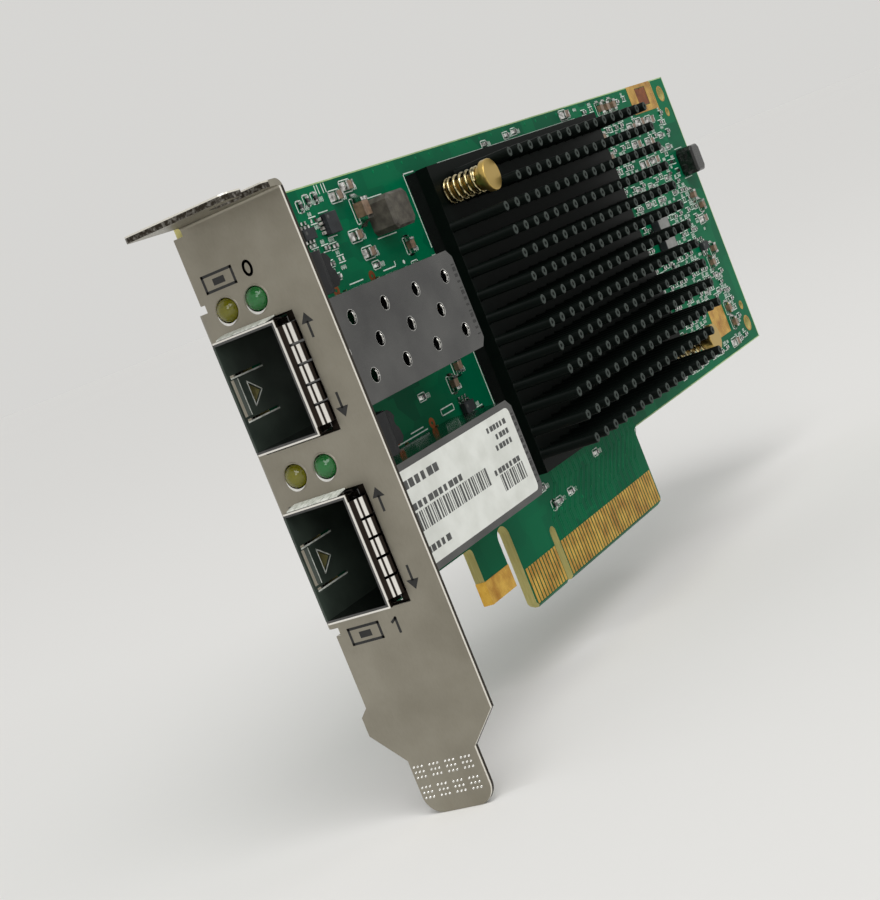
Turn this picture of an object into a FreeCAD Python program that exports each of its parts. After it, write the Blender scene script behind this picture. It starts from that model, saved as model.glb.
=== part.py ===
"""A low-profile, dual-port fibre channel adapter as a parametric document.

Millimetres. X runs from the bracket to the tail of the card, Y from the component side to the solder
side, Z up from the lower edge of the contact tongue. The origin is the middle of the key slot on that
edge, in the mid-plane of the board. Heights are measured from the mid-plane towards the component side,
so a height stands for the same distance along -Y.
"""

import FreeCAD
import Part
import Sketcher
import math
import os
import types

DRIVING = {
    # Circuit board and its contact tongue
    "board_front": -57.6,
    "board_tail": 108.7,
    "board_bottom": 13.65,
    "board_top": 68.9,
    "board_thickness": 1.57,
    "tongue_front": -12.3,
    "tongue_tail": 39.3,
    "tongue_corner": 1.0,
    "tongue_bevel": 0.45,
    "shoulder_radius": 0.9,
    "key_width": 1.9,
    "key_top": 8.9,
    "ground_tab_front": -23.6,
    "ground_tab_tail": -15.9,
    "ground_tab_bottom": 5.0,
    "tail_hole_radius": 1.3,
    "tail_via_radius": 0.65,
    "latch_notch_rear": -55.6,
    "latch_notch_half_width": 3.4,
    # Gold plating
    "plating": 0.05,
    "contact_pitch": 1.0,
    "contact_width": 0.7,
    "contact_bottom": 0.6,
    "contact_top": 6.1,
    "contact_key_gap": 1.5,
    "contacts_before_key": 11,
    "contacts_after_key": 38,
    "ground_tab_plating_top": 8.4,
    "corner_pad_front": 89.5,
    "corner_pad_tail": 101.4,
    "corner_pad_bottom": 63.4,
    "corner_window_front": 93.2,
    "corner_window_tail": 98.4,
    "corner_window_bottom": 64.6,
    "corner_window_top": 68.2,
    "lower_pad_front": 88.0,
    "lower_pad_tail": 95.6,
    "lower_pad_bottom": 17.9,
    "lower_pad_top": 24.0,
    # Bracket, a folded sheet
    "sheet": 0.86,
    "bracket_face": -59.05,
    "bracket_right": 16.9,
    "bracket_left": 1.65,
    "bracket_upper_left": 0.35,
    "bracket_lower_left": 0.45,
    "bracket_seat": 68.35,
    "flange_reach": 11.43,
    "flange_left": -1.2,
    "flange_relief": 67.3,
    "flange_corner": 1.2,
    "screw_slot_width": 4.42,
    "screw_slot_middle": -64.6,
    "screw_slot_end": -13.0,
    "bracket_tab_right": 12.6,
    "bracket_tab_left": 2.4,
    "bracket_tab_bottom": -10.85,
    "bracket_tab_top": -3.4,
    "bracket_tab_radius": 2.5,
    "bracket_shoulder": 0.85,
    "foot_left_top": 3.4,
    "foot_left_end": 4.5,
    "relief_depth": 0.75,
    "relief_height": 1.0,
    "wide_bottom": 15.4,
    "wide_top": 57.6,
    "fold_radius": 1.25,
    "inner_fold_radius": 0.4,
    "ear_bottom": 16.2,
    "ear_top": 56.8,
    "ear_tail": -50.5,
    "ear_corner": 1.5,
    "window_low": 0.3,
    "window_high": 12.0,
    "window_half_width": 7.75,
    "rivet_place": -53.2,
    "rivet_lower": 23.95,
    "rivet_upper": 46.5,
    "rivet_radius": 1.0,
    "rivet_head_radius": 1.8,
    "rivet_head_height": 0.6,
    # Module cages
    "upper_port": 46.5,
    "lower_port": 23.95,
    "cage_front": -61.5,
    "cage_rear": -14.75,
    "cage_width": 14.4,
    "cage_top": 10.35,
    "cage_sheet": 0.3,
    "cage_rear_corner": 1.1,
    "cage_rear_opening_height": 3.2,
    "cage_rear_opening_margin": 1.6,
    "vent_radius": 1.0,
    "vent_start": -53.4,
    "vent_pitch": 8.66,
    "vent_row": 3.95,
    "vent_count": 5,
    "vent_sides": 12,
    "leg_start": -47.0,
    "leg_pitch": 9.0,
    "leg_width": 0.8,
    "leg_reach": 1.6,
    "leg_count": 4,
    "leg_play": 0.15,
    "floor_rear": -34.0,
    "latch_slit_place": 2.85,
    "latch_slit_width": 0.3,
    "latch_slit_front": -60.9,
    "latch_slit_rear": -53.7,
    "latch_gap_front": -61.1,
    "latch_gap_rear": -59.7,
    "latch_gap_half_width": 2.4,
    "latch_lip_drop": 0.3,
    "latch_hole_front": -58.0,
    "latch_hole_rear": -55.8,
    "latch_hole_half_width": 1.5,
    # Spring-finger collar round a cage's mouth
    "gasket_sheet": 0.15,
    "gasket_roll": 0.22,
    "gasket_roll_length": 0.6,
    "gasket_crest": -59.4,
    "gasket_crest_height": 11.9,
    "gasket_rear": -56.0,
    "gasket_width": 12.8,
    "gasket_slit": 0.35,
    "gasket_top_fingers": 5,
    "gasket_side_bulge": 0.42,
    "gasket_side_rear": -57.85,
    "gasket_side_low": 1.4,
    "gasket_side_high": 9.4,
    "gasket_side_fingers": 3,
    # Module socket inside a cage
    "socket_front": -27.0,
    "socket_rear": -17.0,
    "socket_width": 11.0,
    "socket_top": 6.3,
    "socket_slot_low": 2.7,
    "socket_slot_high": 4.3,
    "socket_slot_width": 9.4,
    "socket_contact_pitch": 0.8,
    "socket_contact_width": 0.36,
    "socket_contact_sheet": 0.15,
    "socket_contact_count": 10,
    "socket_contact_front": -26.4,
    "socket_upper_bend": -16.2,
    "socket_lower_bend": -16.75,
    "socket_foot": -15.5,
    # Port lights
    "upper_lights": 57.0,
    "lower_lights": 35.1,
    "yellow_light_height": 3.15,
    "green_light_height": 7.8,
    "light_radius": 1.45,
    "light_hole_radius": 1.6,
    "light_tip": -60.1,
    "light_seat": -55.6,
    "light_dome_steps": 3,
    "housing_front": -57.5,
    "housing_rear": -43.5,
    "housing_width": 5.7,
    "housing_top": 10.2,
    "housing_corner": 3.2,
    # Controller and its heat sink
    "controller_x": 30.2,
    "controller_z": 41.6,
    "substrate_size": 31.0,
    "substrate_top": 1.885,
    "lid_size": 28.0,
    "lid_corner": 0.8,
    "lid_top": 2.6,
    "sink_bottom": 2.8,
    "sink_base_top": 4.85,
    "sink_top": 14.4,
    "fin_radius": 0.8,
    "fin_column_start": -1.25,
    "fin_column_pitch": 3.7,
    "fin_columns": 18,
    "fin_row_start": 20.0,
    "fin_row_pitch": 3.633,
    "fin_rows": 13,
    "sink_lower_edge": 17.25,
    "sink_upper_edge": 66.0,
    "pin_clearing": 1.7,
    # Push pins and their springs
    "pin_x": 1.8,
    "pin_z": 61.4,
    "pin_cap_radius": 2.45,
    "pin_cap_top": 12.6,
    "pin_cap_low": 11.5,
    "pin_collar_radius": 1.87,
    "pin_collar_low": 10.6,
    "pin_shank_radius": 1.3,
    "pin_hole_radius": 1.45,
    "pin_barb_radius": 1.75,
    "pin_tip_radius": 0.7,
    "pin_tip_reach": 3.4,
    "spring_wire_radius": 0.26,
    "spring_radius": 1.87,
    "spring_turns": 6,
    "spring_runs": 8,
    "spring_seat": 0.004,
    # Surface-mount parts
    "capacitor_length": 2.0,
    "capacitor_width": 1.25,
    "capacitor_height": 0.9,
    "capacitor_end": 0.4,
    "resistor_length": 1.1,
    "resistor_width": 0.6,
    "resistor_height": 0.4,
    "resistor_end": 0.25,
    "end_cap_proud": 0.03,
    "bulk_length": 3.2,
    "bulk_width": 1.7,
    "bulk_height": 1.7,
    "bulk_end": 0.5,
    "bulk_x": -18.0,
    "bulk_z": 63.4,
    "inductor_corner": 0.7,
    "inductor_bevel": 0.35,
    "front_inductor_height": 4.0,
    "tail_inductor_height": 3.4,
    # Small integrated circuits
    "lead_sheet": 0.2,
    "lead_reach": 1.05,
    "lead_width": 0.42,
    "chip_gap": 0.15,
    # Label on the lower cage
    "label_front": -52.0,
    "label_rear": -16.2,
    "label_lower": 17.7,
    "label_upper": 30.2,
    "label_sheet": 0.1,
}

# Middles of the capacitors as X, Z and the axis that their length follows
CAPACITOR_PLACES = (
    (-22.2, 66.3, "x"), (-18.7, 67.2, "x"), (-21.2, 60.2, "x"), (-19.6, 57.4, "x"), (-8.4, 56.3, "z"),
    (-11.6, 35.4, "z"), (-8.8, 37.4, "z"), (58.4, 67.5, "x"), (74.0, 66.6, "z"), (76.9, 66.5, "z"),
    (79.9, 66.6, "z"), (97.9, 22.2, "z"), (98.3, 19.1, "z"), (95.4, 15.6, "x"), (84.9, 61.4, "x"),
    (89.6, 61.9, "x"), (94.6, 61.7, "x"), (84.2, 58.1, "x"), (90.7, 57.7, "x"), (84.4, 54.1, "x"),
    (89.8, 54.2, "x"), (101.6, 45.1, "z"), (104.1, 42.6, "z"), (102.3, 40.0, "x"), (101.5, 33.9, "z"),
    (98.4, 31.6, "z"), (70.5, 61.5, "z"), (70.5, 57.5, "z"), (67.0, 24.0, "x"), (72.0, 22.0, "x"),
)

# Middles of the resistors as X, Z and the axis that their length follows
RESISTOR_PLACES = (
    (-31.6, 66.4, "z"), (-29.5, 66.9, "z"), (-27.4, 66.9, "z"), (-37.4, 64.4, "x"), (-37.4, 63.3, "x"),
    (-37.4, 62.0, "x"), (-37.4, 61.0, "x"), (-18.8, 55.4, "x"), (-8.6, 53.4, "x"), (-20.7, 35.8, "x"),
    (-32.4, 36.2, "x"), (2.0, 14.6, "x"), (5.6, 11.4, "x"), (3.5, 11.3, "z"), (10.1, 11.5, "x"),
    (22.8, 14.2, "x"), (25.9, 66.9, "x"), (34.4, 67.2, "x"), (37.7, 67.4, "x"), (97.6, 58.2, "x"),
    (95.5, 55.6, "x"), (99.2, 55.6, "x"), (77.9, 50.1, "x"), (83.9, 49.9, "x"), (92.7, 50.1, "x"),
    (79.7, 46.9, "x"), (86.0, 46.7, "x"), (93.9, 47.0, "x"), (84.6, 43.4, "x"), (98.9, 28.8, "x"),
    (89.4, 29.2, "x"), (85.3, 28.6, "x"), (91.0, 27.0, "x"), (97.1, 26.0, "x"), (84.6, 38.4, "z"),
    (80.0, 34.5, "z"), (76.0, 42.0, "z"), (74.0, 34.0, "x"), (74.0, 30.0, "x"), (70.0, 46.0, "z"),
)

# Small integrated circuits: X, Z, turn about Y, length, width, height, lead pitch, leads on each side
CHIPS = (
    (-26.7, 63.0, 90, 3.0, 3.0, 1.1, 0.65, 4),
    (-33.1, 62.5, 0, 2.9, 1.6, 1.0, 0.95, 3),
    (-10.6, 31.4, 0, 2.9, 1.6, 1.0, 0.95, 3),
    (79.8, 40.9, 0, 5.2, 6.4, 1.6, 1.27, 4),
    (97.0, 35.2, 0, 2.9, 1.6, 1.0, 0.95, 3),
)

# Outlines of the two moulded inductors: X from and to, Z from and to
FRONT_INDUCTOR = (-16.0, -10.0, 59.0, 64.3)
TAIL_INDUCTOR = (101.4, 105.8, 48.9, 54.3)

# Round holes at the tail, as X and Z
TAIL_HOLES = ((105.25, 65.8), (105.25, 17.3))
TAIL_VIAS = ((105.35, 62.0), (105.35, 21.1))

TOLERANCE = 1e-4


class Dim:
    """A length with its number, for a sketch's first guess, and its formula, for the document."""

    def __init__(self, value, formula):
        self.value = value
        self.formula = formula

    def joined(self, sign, other, value):
        """A Dim for two lengths with an arithmetic sign between them."""
        return Dim(value, "(%s %s %s)" % (self.formula, sign, as_dim(other).formula))

    def __add__(self, other):
        return self.joined("+", other, self.value + as_dim(other).value)

    def __sub__(self, other):
        return self.joined("-", other, self.value - as_dim(other).value)

    def __mul__(self, other):
        return self.joined("*", other, self.value * as_dim(other).value)

    def __truediv__(self, other):
        return self.joined("/", other, self.value / as_dim(other).value)

    def __neg__(self):
        return Dim(-self.value, "(-1 * %s)" % self.formula)


def as_dim(size):
    """A plain number as a Dim, and a Dim as it is."""
    return size if isinstance(size, Dim) else Dim(float(size), "(%r)" % float(size))


def bind(item, field, size):
    """Ties one property of an object to a formula."""
    item.setExpression(field, as_dim(size).formula)


def fill_sheet(values):
    """Writes the driving dimensions to the document's sheet and gives them back by name."""
    sheet = doc.addObject("Spreadsheet::Sheet", "Dimensions")
    for row, (alias, value) in enumerate(values.items(), start=1):
        sheet.set("A%d" % row, alias)
        sheet.set("B%d" % row, str(value))
        sheet.setAlias("B%d" % row, alias)
    doc.recompute()
    return types.SimpleNamespace(**{name: Dim(value, "Dimensions." + name) for name, value in values.items()})


class Profile:
    """A sketch on one of its body's origin planes, with each point and radius tied to the sheet."""

    def __init__(self, body, name, plane, level=0):
        self.sketch = body.newObject("Sketcher::SketchObject", name)
        origin_plane = [item for item in body.Origin.OriginFeatures if item.Role == plane][0]
        self.sketch.AttachmentSupport = (origin_plane, [""])
        self.sketch.MapMode = "FlatFace"
        bind(self.sketch, "AttachmentOffset.Base.z", level)

    def fix(self, constraint, size):
        """Adds a constraint that carries a size and ties it to its formula."""
        index = self.sketch.addConstraint(constraint)
        self.sketch.setExpression("Constraints[%d]" % index, as_dim(size).formula)

    def fix_point(self, curve, end, x, y):
        """Ties one point of a curve to its place in the plane."""
        self.fix(Sketcher.Constraint("DistanceX", -1, 1, curve, end, as_dim(x).value), x)
        self.fix(Sketcher.Constraint("DistanceY", -1, 1, curve, end, as_dim(y).value), y)

    def line(self, start, end):
        """Adds one straight line and returns its number."""
        ends = [FreeCAD.Vector(as_dim(x).value, as_dim(y).value, 0) for x, y in (start, end)]
        return self.sketch.addGeometry(Part.LineSegment(*ends), False)

    def polygon(self, points):
        """Adds a closed outline of straight lines through the points."""
        lines = [self.line(start, end) for start, end in zip(points, points[1:] + points[:1])]
        for line, following, point in zip(lines, lines[1:] + lines[:1], points):
            self.sketch.addConstraint(Sketcher.Constraint("Coincident", line, 2, following, 1))
            self.fix_point(line, 1, *point)

    def rectangle(self, x_span, y_span):
        """Adds a rectangle between two values on each axis."""
        (left, right), (low, high) = x_span, y_span
        self.polygon([(left, low), (right, low), (right, high), (left, high)])

    def circle(self, x, y, radius):
        """Adds a full circle."""
        middle = FreeCAD.Vector(as_dim(x).value, as_dim(y).value, 0)
        circle = Part.Circle(middle, FreeCAD.Vector(0, 0, 1), as_dim(radius).value)
        curve = self.sketch.addGeometry(circle, False)
        self.fix_point(curve, 3, x, y)
        self.fix(Sketcher.Constraint("Radius", curve, as_dim(radius).value), radius)

    def regular(self, x, y, radius, sides):
        """Adds a regular polygon, for round forms that repeat often."""
        turns = [math.tau * (step + 0.5) / sides for step in range(sides)]
        self.polygon([(x + radius * math.cos(turn), y + radius * math.sin(turn)) for turn in turns])

    def slot(self, x_span, open_end, round_middle):
        """Adds a slot with a half-round upper end, whose other end is left square."""
        left, right = x_span
        middle = FreeCAD.Vector((left.value + right.value) / 2, round_middle.value, 0)
        half_round = Part.Circle(middle, FreeCAD.Vector(0, 0, 1), (right.value - left.value) / 2)
        right_side = self.line((right, open_end), (right, round_middle))
        arc = self.sketch.addGeometry(Part.ArcOfCircle(half_round, 0, math.pi), False)
        left_side = self.line((left, round_middle), (left, open_end))
        mouth = self.line((left, open_end), (right, open_end))
        curves = (right_side, arc, left_side, mouth)
        for curve, following in zip(curves, curves[1:] + curves[:1]):
            self.sketch.addConstraint(Sketcher.Constraint("Coincident", curve, 2, following, 1))
        self.fix_point(right_side, 1, right, open_end)
        self.fix_point(right_side, 2, right, round_middle)
        self.fix_point(left_side, 1, left, round_middle)
        self.fix_point(left_side, 2, left, open_end)
        self.fix(Sketcher.Constraint("DistanceY", -1, 1, arc, 3, round_middle.value), round_middle)


def new_body(label):
    """An empty body that carries its own label."""
    body = doc.addObject("PartDesign::Body", label)
    body.Label = label
    return body


def pad(body, profile, length, reverse=False, midplane=False):
    """Adds material from a profile along its plane's normal, against it or to both sides."""
    feature = body.newObject("PartDesign::Pad", profile.sketch.Name + "_pad")
    feature.Profile = profile.sketch
    feature.Reversed = reverse
    feature.Midplane = midplane
    bind(feature, "Length", length)
    doc.recompute()
    return feature


def pocket(body, profile, length=None, along_normal=False):
    """Cuts a profile out of a body: right through to both sides, or to a depth."""
    before = body.Shape.Volume
    feature = body.newObject("PartDesign::Pocket", profile.sketch.Name + "_pocket")
    feature.Profile = profile.sketch
    if length is None:
        feature.Type = "ThroughAll"
        feature.Midplane = True
    else:
        feature.Reversed = along_normal
        bind(feature, "Length", length)
    doc.recompute()
    if body.Shape.Volume > before - TOLERANCE:
        raise RuntimeError("%s cuts nothing" % feature.Name)
    return feature


def pattern(body, feature, axis, spacing, count):
    """Repeats a feature along one of its body's origin axes."""
    before = body.Shape.Volume
    repeat = body.newObject("PartDesign::LinearPattern", feature.Name + "_pattern")
    repeat.Originals = [feature]
    repeat.Direction = ([item for item in body.Origin.OriginFeatures if item.Role == axis][0], [""])
    bind(repeat, "Length", spacing * (count - 1))
    bind(repeat, "Occurrences", count)
    body.Tip = repeat
    doc.recompute()
    if abs(body.Shape.Volume - before) < TOLERANCE:
        raise RuntimeError("%s changes nothing" % repeat.Name)
    return repeat


def edges_at(shape, x=None, y=None, z=None):
    """Names of the edges whose ends all lie at the given coordinates."""
    wanted = [(axis, as_dim(size).value) for axis, size in (("x", x), ("y", y), ("z", z)) if size is not None]
    names = []
    for number, edge in enumerate(shape.Edges, start=1):
        ends = [vertex.Point for vertex in edge.Vertexes]
        if all(abs(getattr(end, axis) - value) < TOLERANCE for end in ends for axis, value in wanted):
            names.append("Edge%d" % number)
    return names


def round_edges(body, edge_names, radius):
    """Rounds edges of a body's last feature."""
    base = body.Tip
    feature = body.newObject("PartDesign::Fillet", body.Name + "_round")
    feature.Base = (base, edge_names)
    bind(feature, "Radius", radius)
    doc.recompute()


def bevel_edges(body, edge_names, size):
    """Bevels edges of a body's last feature."""
    base = body.Tip
    feature = body.newObject("PartDesign::Chamfer", body.Name + "_bevel")
    feature.Base = (base, edge_names)
    bind(feature, "Size", size)
    doc.recompute()


def block(label, x_span, y_span, z_span):
    """A box between two values on each axis."""
    box = doc.addObject("Part::Box", label)
    box.Label = label
    spans = (("Length", "x", x_span), ("Width", "y", y_span), ("Height", "z", z_span))
    for side, axis, (low, high) in spans:
        bind(box, side, as_dim(high) - low)
        bind(box, "Placement.Base." + axis, low)
    return box


def heights(low, high):
    """The Y span between two heights over the component side."""
    return -as_dim(high), -as_dim(low)


def group(label, items):
    """One sub-part made of separate like solids."""
    compound = doc.addObject("Part::Compound", label)
    compound.Label = label
    compound.Links = items
    return compound


def place(item, **offsets):
    """Moves a finished sub-part along the named axes."""
    for axis, size in offsets.items():
        bind(item, "Placement.Base." + axis, size)
    return item


def whole(size):
    """A count from the sheet as a whole number."""
    return int(size.value)


doc = FreeCAD.newDocument("FibreChannelAdapter")
d = fill_sheet(DRIVING)
board_face = d.board_thickness / 2
cage_half = d.cage_width / 2
far_pin_x = d.controller_x * 2 - d.pin_x
far_pin_z = d.controller_z * 2 - d.pin_z
PINS = ((d.pin_x, d.pin_z), (far_pin_x, far_pin_z))
PORTS = (("upper", d.upper_port, d.upper_lights), ("lower", d.lower_port, d.lower_lights))


def leg_places():
    """X of the cage legs' middles."""
    return [d.leg_start + d.leg_pitch * index for index in range(whole(d.leg_count))]


def circuit_board():
    """The board: tongue, key slot, ground tab, drilled holes, leg slots and room for the latches."""
    body = new_body("circuit_board")
    outline = Profile(body, "board_outline", "XZ_Plane")
    zero = as_dim(0)
    outline.polygon([
        (d.board_front, d.board_bottom), (d.ground_tab_front, d.board_bottom),
        (d.ground_tab_front, d.ground_tab_bottom), (d.tongue_front, d.ground_tab_bottom),
        (d.tongue_front, d.tongue_corner), (d.tongue_front + d.tongue_corner, zero),
        (d.tongue_tail - d.tongue_corner, zero), (d.tongue_tail, d.tongue_corner),
        (d.tongue_tail, d.board_bottom), (d.board_tail, d.board_bottom),
        (d.board_tail, d.board_top), (d.board_front, d.board_top),
    ])
    pad(body, outline, d.board_thickness, midplane=True)

    below_tongue = -d.tongue_corner
    gaps = Profile(body, "tongue_gaps", "XZ_Plane")
    key_half = d.key_width / 2
    gaps.slot((-key_half, key_half), below_tongue, d.key_top - key_half)
    wide_half = (d.tongue_front - d.ground_tab_tail) / 2
    gaps.slot((d.ground_tab_tail, d.tongue_front), below_tongue, d.board_bottom - wide_half)
    pocket(body, gaps)

    holes = Profile(body, "board_holes", "XZ_Plane")
    for x, z in TAIL_HOLES:
        holes.circle(x, z, d.tail_hole_radius)
    for x, z in TAIL_VIAS:
        holes.circle(x, z, d.tail_via_radius)
    for x, z in PINS:
        holes.circle(x, z, d.pin_hole_radius)
    for z in (d.rivet_lower, d.rivet_upper):
        holes.circle(d.rivet_place, z, d.rivet_radius)
    pocket(body, holes)

    slots = Profile(body, "board_leg_slots", "XZ_Plane")
    half_length = d.leg_width / 2 + d.leg_play
    outside = cage_half + d.leg_play
    inside = cage_half - d.cage_sheet - d.leg_play
    for _, port, _ in PORTS:
        for x in leg_places():
            slots.rectangle((x - half_length, x + half_length), (port + inside, port + outside))
            slots.rectangle((x - half_length, x + half_length), (port - outside, port - inside))
    pocket(body, slots)

    notches = Profile(body, "board_latch_notches", "XZ_Plane")
    half = d.latch_notch_half_width
    for _, port, _ in PORTS:
        notches.rectangle((d.board_front - half, d.latch_notch_rear), (port - half, port + half))
    pocket(body, notches)

    lead_in = Profile(body, "tongue_lead_in", "YZ_Plane")
    bevel_reach = board_face + d.tongue_bevel
    for side in (1, -1):
        lead_in.polygon([
            (bevel_reach * side, d.tongue_bevel * 2), (bevel_reach * side, -d.tongue_bevel),
            ((board_face - d.tongue_bevel * 2) * side, -d.tongue_bevel),
        ])
    pocket(body, lead_in)
    shoulders = edges_at(body.Shape, x=d.ground_tab_front, z=d.board_bottom)
    shoulders += edges_at(body.Shape, x=d.tongue_tail, z=d.board_bottom)
    round_edges(body, shoulders, d.shoulder_radius)
    return body


def edge_contacts(label, face_span):
    """The gold fingers on one side of the tongue, in two runs beside the key slot."""
    before = [-d.contact_key_gap - d.contact_pitch * step for step in range(whole(d.contacts_before_key))]
    after = [d.contact_key_gap + d.contact_pitch * step for step in range(whole(d.contacts_after_key))]
    fingers = []
    half = d.contact_width / 2
    for number, middle in enumerate(before[::-1] + after, start=1):
        name = "%s_finger_%d" % (label, number)
        rows = (d.contact_bottom, d.contact_top)
        fingers.append(block(name, (middle - half, middle + half), face_span, rows))
    return group(label, fingers)


def ground_tab_plating():
    """Gold wrapped round the lower end of the ground tab."""
    outside = block(
        "tab_plating_outside",
        (d.ground_tab_front - d.plating, d.ground_tab_tail + d.plating),
        (-board_face - d.plating, board_face + d.plating),
        (d.ground_tab_bottom - d.plating, d.ground_tab_plating_top))
    inside = block(
        "tab_plating_inside",
        (d.ground_tab_front, d.ground_tab_tail),
        (-board_face, board_face),
        (d.ground_tab_bottom, d.board_bottom))
    plating = doc.addObject("Part::Cut", "ground_tab_plating")
    plating.Base = outside
    plating.Tool = inside
    return plating


def corner_pads():
    """Two bare gold areas at the tail: a framed window above, a plain pad below."""
    upper = new_body("upper_corner_pad")
    frame = Profile(upper, "upper_pad_outline", "XZ_Plane", board_face)
    frame.rectangle((d.corner_pad_front, d.corner_pad_tail), (d.corner_pad_bottom, d.board_top))
    columns = (d.corner_window_front, d.corner_window_tail)
    frame.rectangle(columns, (d.corner_window_bottom, d.corner_window_top))
    pad(upper, frame, d.plating)
    lower = block(
        "lower_corner_pad",
        (d.lower_pad_front, d.lower_pad_tail),
        heights(board_face, board_face + d.plating),
        (d.lower_pad_bottom, d.lower_pad_top))
    return group("corner_pads", [upper, lower])


def bracket():
    """The bracket, one sheet: face plate, screw flange, slot tab and the ear behind the board."""
    body = new_body("bracket")
    top = d.bracket_seat + d.sheet
    rear = d.bracket_face + d.sheet
    relief_left = d.bracket_lower_left - d.relief_depth
    face = Profile(body, "bracket_face", "YZ_Plane", d.bracket_face)
    face.polygon([
        (-d.bracket_right, top), (-d.bracket_right, d.bracket_shoulder),
        (-d.bracket_tab_right, d.bracket_tab_top), (-d.bracket_tab_right, d.bracket_tab_bottom),
        (-d.bracket_tab_left, d.bracket_tab_bottom), (-d.bracket_tab_left, d.bracket_tab_top),
        (d.bracket_left, d.bracket_shoulder), (d.bracket_left, d.foot_left_top),
        (d.bracket_lower_left, d.foot_left_end), (d.bracket_lower_left, d.wide_bottom - d.relief_height),
        (relief_left, d.wide_bottom - d.relief_height), (relief_left, d.wide_bottom),
        (d.bracket_left, d.wide_bottom), (d.bracket_left, d.wide_top),
        (relief_left, d.wide_top), (relief_left, d.wide_top + d.relief_height),
        (d.bracket_upper_left, d.wide_top + d.relief_height), (d.bracket_upper_left, d.flange_relief),
        (d.flange_left, d.flange_relief), (d.flange_left, top),
    ])
    pad(body, face, d.sheet)

    flange = Profile(body, "bracket_flange", "XY_Plane", d.bracket_seat)
    flange.rectangle((d.bracket_face - d.flange_reach, rear), (-d.bracket_right, d.flange_left))
    pad(body, flange, d.sheet)

    ear = Profile(body, "bracket_ear", "XZ_Plane", -board_face)
    ear.rectangle((d.bracket_face, d.ear_tail), (d.ear_bottom, d.ear_top))
    pad(body, ear, d.bracket_left - board_face, reverse=True)

    openings = Profile(body, "bracket_openings", "YZ_Plane", d.bracket_face)
    for _, port, lights in PORTS:
        columns = (-d.window_high, -d.window_low)
        openings.rectangle(columns, (port - d.window_half_width, port + d.window_half_width))
        for height in (d.yellow_light_height, d.green_light_height):
            openings.circle(-height, lights, d.light_hole_radius)
    pocket(body, openings, d.sheet, along_normal=True)

    screw_slot = Profile(body, "bracket_screw_slot", "XY_Plane", d.bracket_seat)
    slot_half = d.screw_slot_width / 2
    columns = (d.screw_slot_middle - slot_half, d.screw_slot_middle + slot_half)
    screw_slot.slot(columns, -d.bracket_right - slot_half, d.screw_slot_end)
    pocket(body, screw_slot, d.sheet, along_normal=True)

    rivet_holes = Profile(body, "bracket_rivet_holes", "XZ_Plane", -d.bracket_left)
    for z in (d.rivet_lower, d.rivet_upper):
        rivet_holes.circle(d.rivet_place, z, d.rivet_radius)
    pocket(body, rivet_holes, d.bracket_left - board_face, along_normal=True)

    round_edges(body, edges_at(body.Shape, x=rear, z=top), d.fold_radius)
    round_edges(body, edges_at(body.Shape, x=d.bracket_face, z=d.bracket_seat), d.inner_fold_radius)
    fold = [name for name in edges_at(body.Shape, x=d.bracket_face, y=d.bracket_left)
            if body.Shape.getElement(name).Length > d.ear_top.value - d.ear_bottom.value]
    round_edges(body, fold, d.fold_radius)
    tab_corners = edges_at(body.Shape, y=-d.bracket_tab_right, z=d.bracket_tab_bottom)
    tab_corners += edges_at(body.Shape, y=-d.bracket_tab_left, z=d.bracket_tab_bottom)
    round_edges(body, tab_corners, d.bracket_tab_radius)
    ear_corners = edges_at(body.Shape, x=d.ear_tail, z=d.ear_bottom)
    ear_corners += edges_at(body.Shape, x=d.ear_tail, z=d.ear_top)
    round_edges(body, ear_corners, d.ear_corner)
    flange_corners = edges_at(body.Shape, x=d.bracket_face - d.flange_reach, y=-d.bracket_right)
    flange_corners += edges_at(body.Shape, x=d.bracket_face - d.flange_reach, y=d.flange_left)
    round_edges(body, flange_corners, d.flange_corner)
    return body


def bracket_rivets():
    """Two rivets through the ear and the board, coned behind and flush on the component side."""
    rivets = []
    for name, z in (("lower_rivet", d.rivet_lower), ("upper_rivet", d.rivet_upper)):
        body = new_body(name)
        half = Profile(body, name + "_half", "XY_Plane")
        half.polygon([
            (as_dim(0), -board_face), (d.rivet_radius, -board_face), (d.rivet_radius, d.bracket_left),
            (d.rivet_head_radius, d.bracket_left), (d.rivet_radius, d.bracket_left + d.rivet_head_height),
            (as_dim(0), d.bracket_left + d.rivet_head_height),
        ])
        turn(body, half, "V_Axis")
        rivets.append(place(body, x=d.rivet_place, z=z))
    return group("bracket_rivets", rivets)


def turn(body, profile, axis):
    """Turns a half profile into a round solid about one of its sketch's axes."""
    feature = body.newObject("PartDesign::Revolution", profile.sketch.Name + "_turned")
    feature.Profile = profile.sketch
    feature.ReferenceAxis = (profile.sketch, [axis])
    feature.Angle = 360
    doc.recompute()
    return feature


def cage_outline(inset):
    """Plan of a cage with its bevelled rear corners, moved inwards by a wall."""
    side = cage_half - inset
    rear = d.cage_rear - inset
    bevel = d.cage_rear_corner
    front = d.cage_front - inset * 4
    return [
        (front, -side), (rear - bevel, -side), (rear, bevel - side),
        (rear, side - bevel), (rear - bevel, side), (front, side),
    ]


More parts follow.
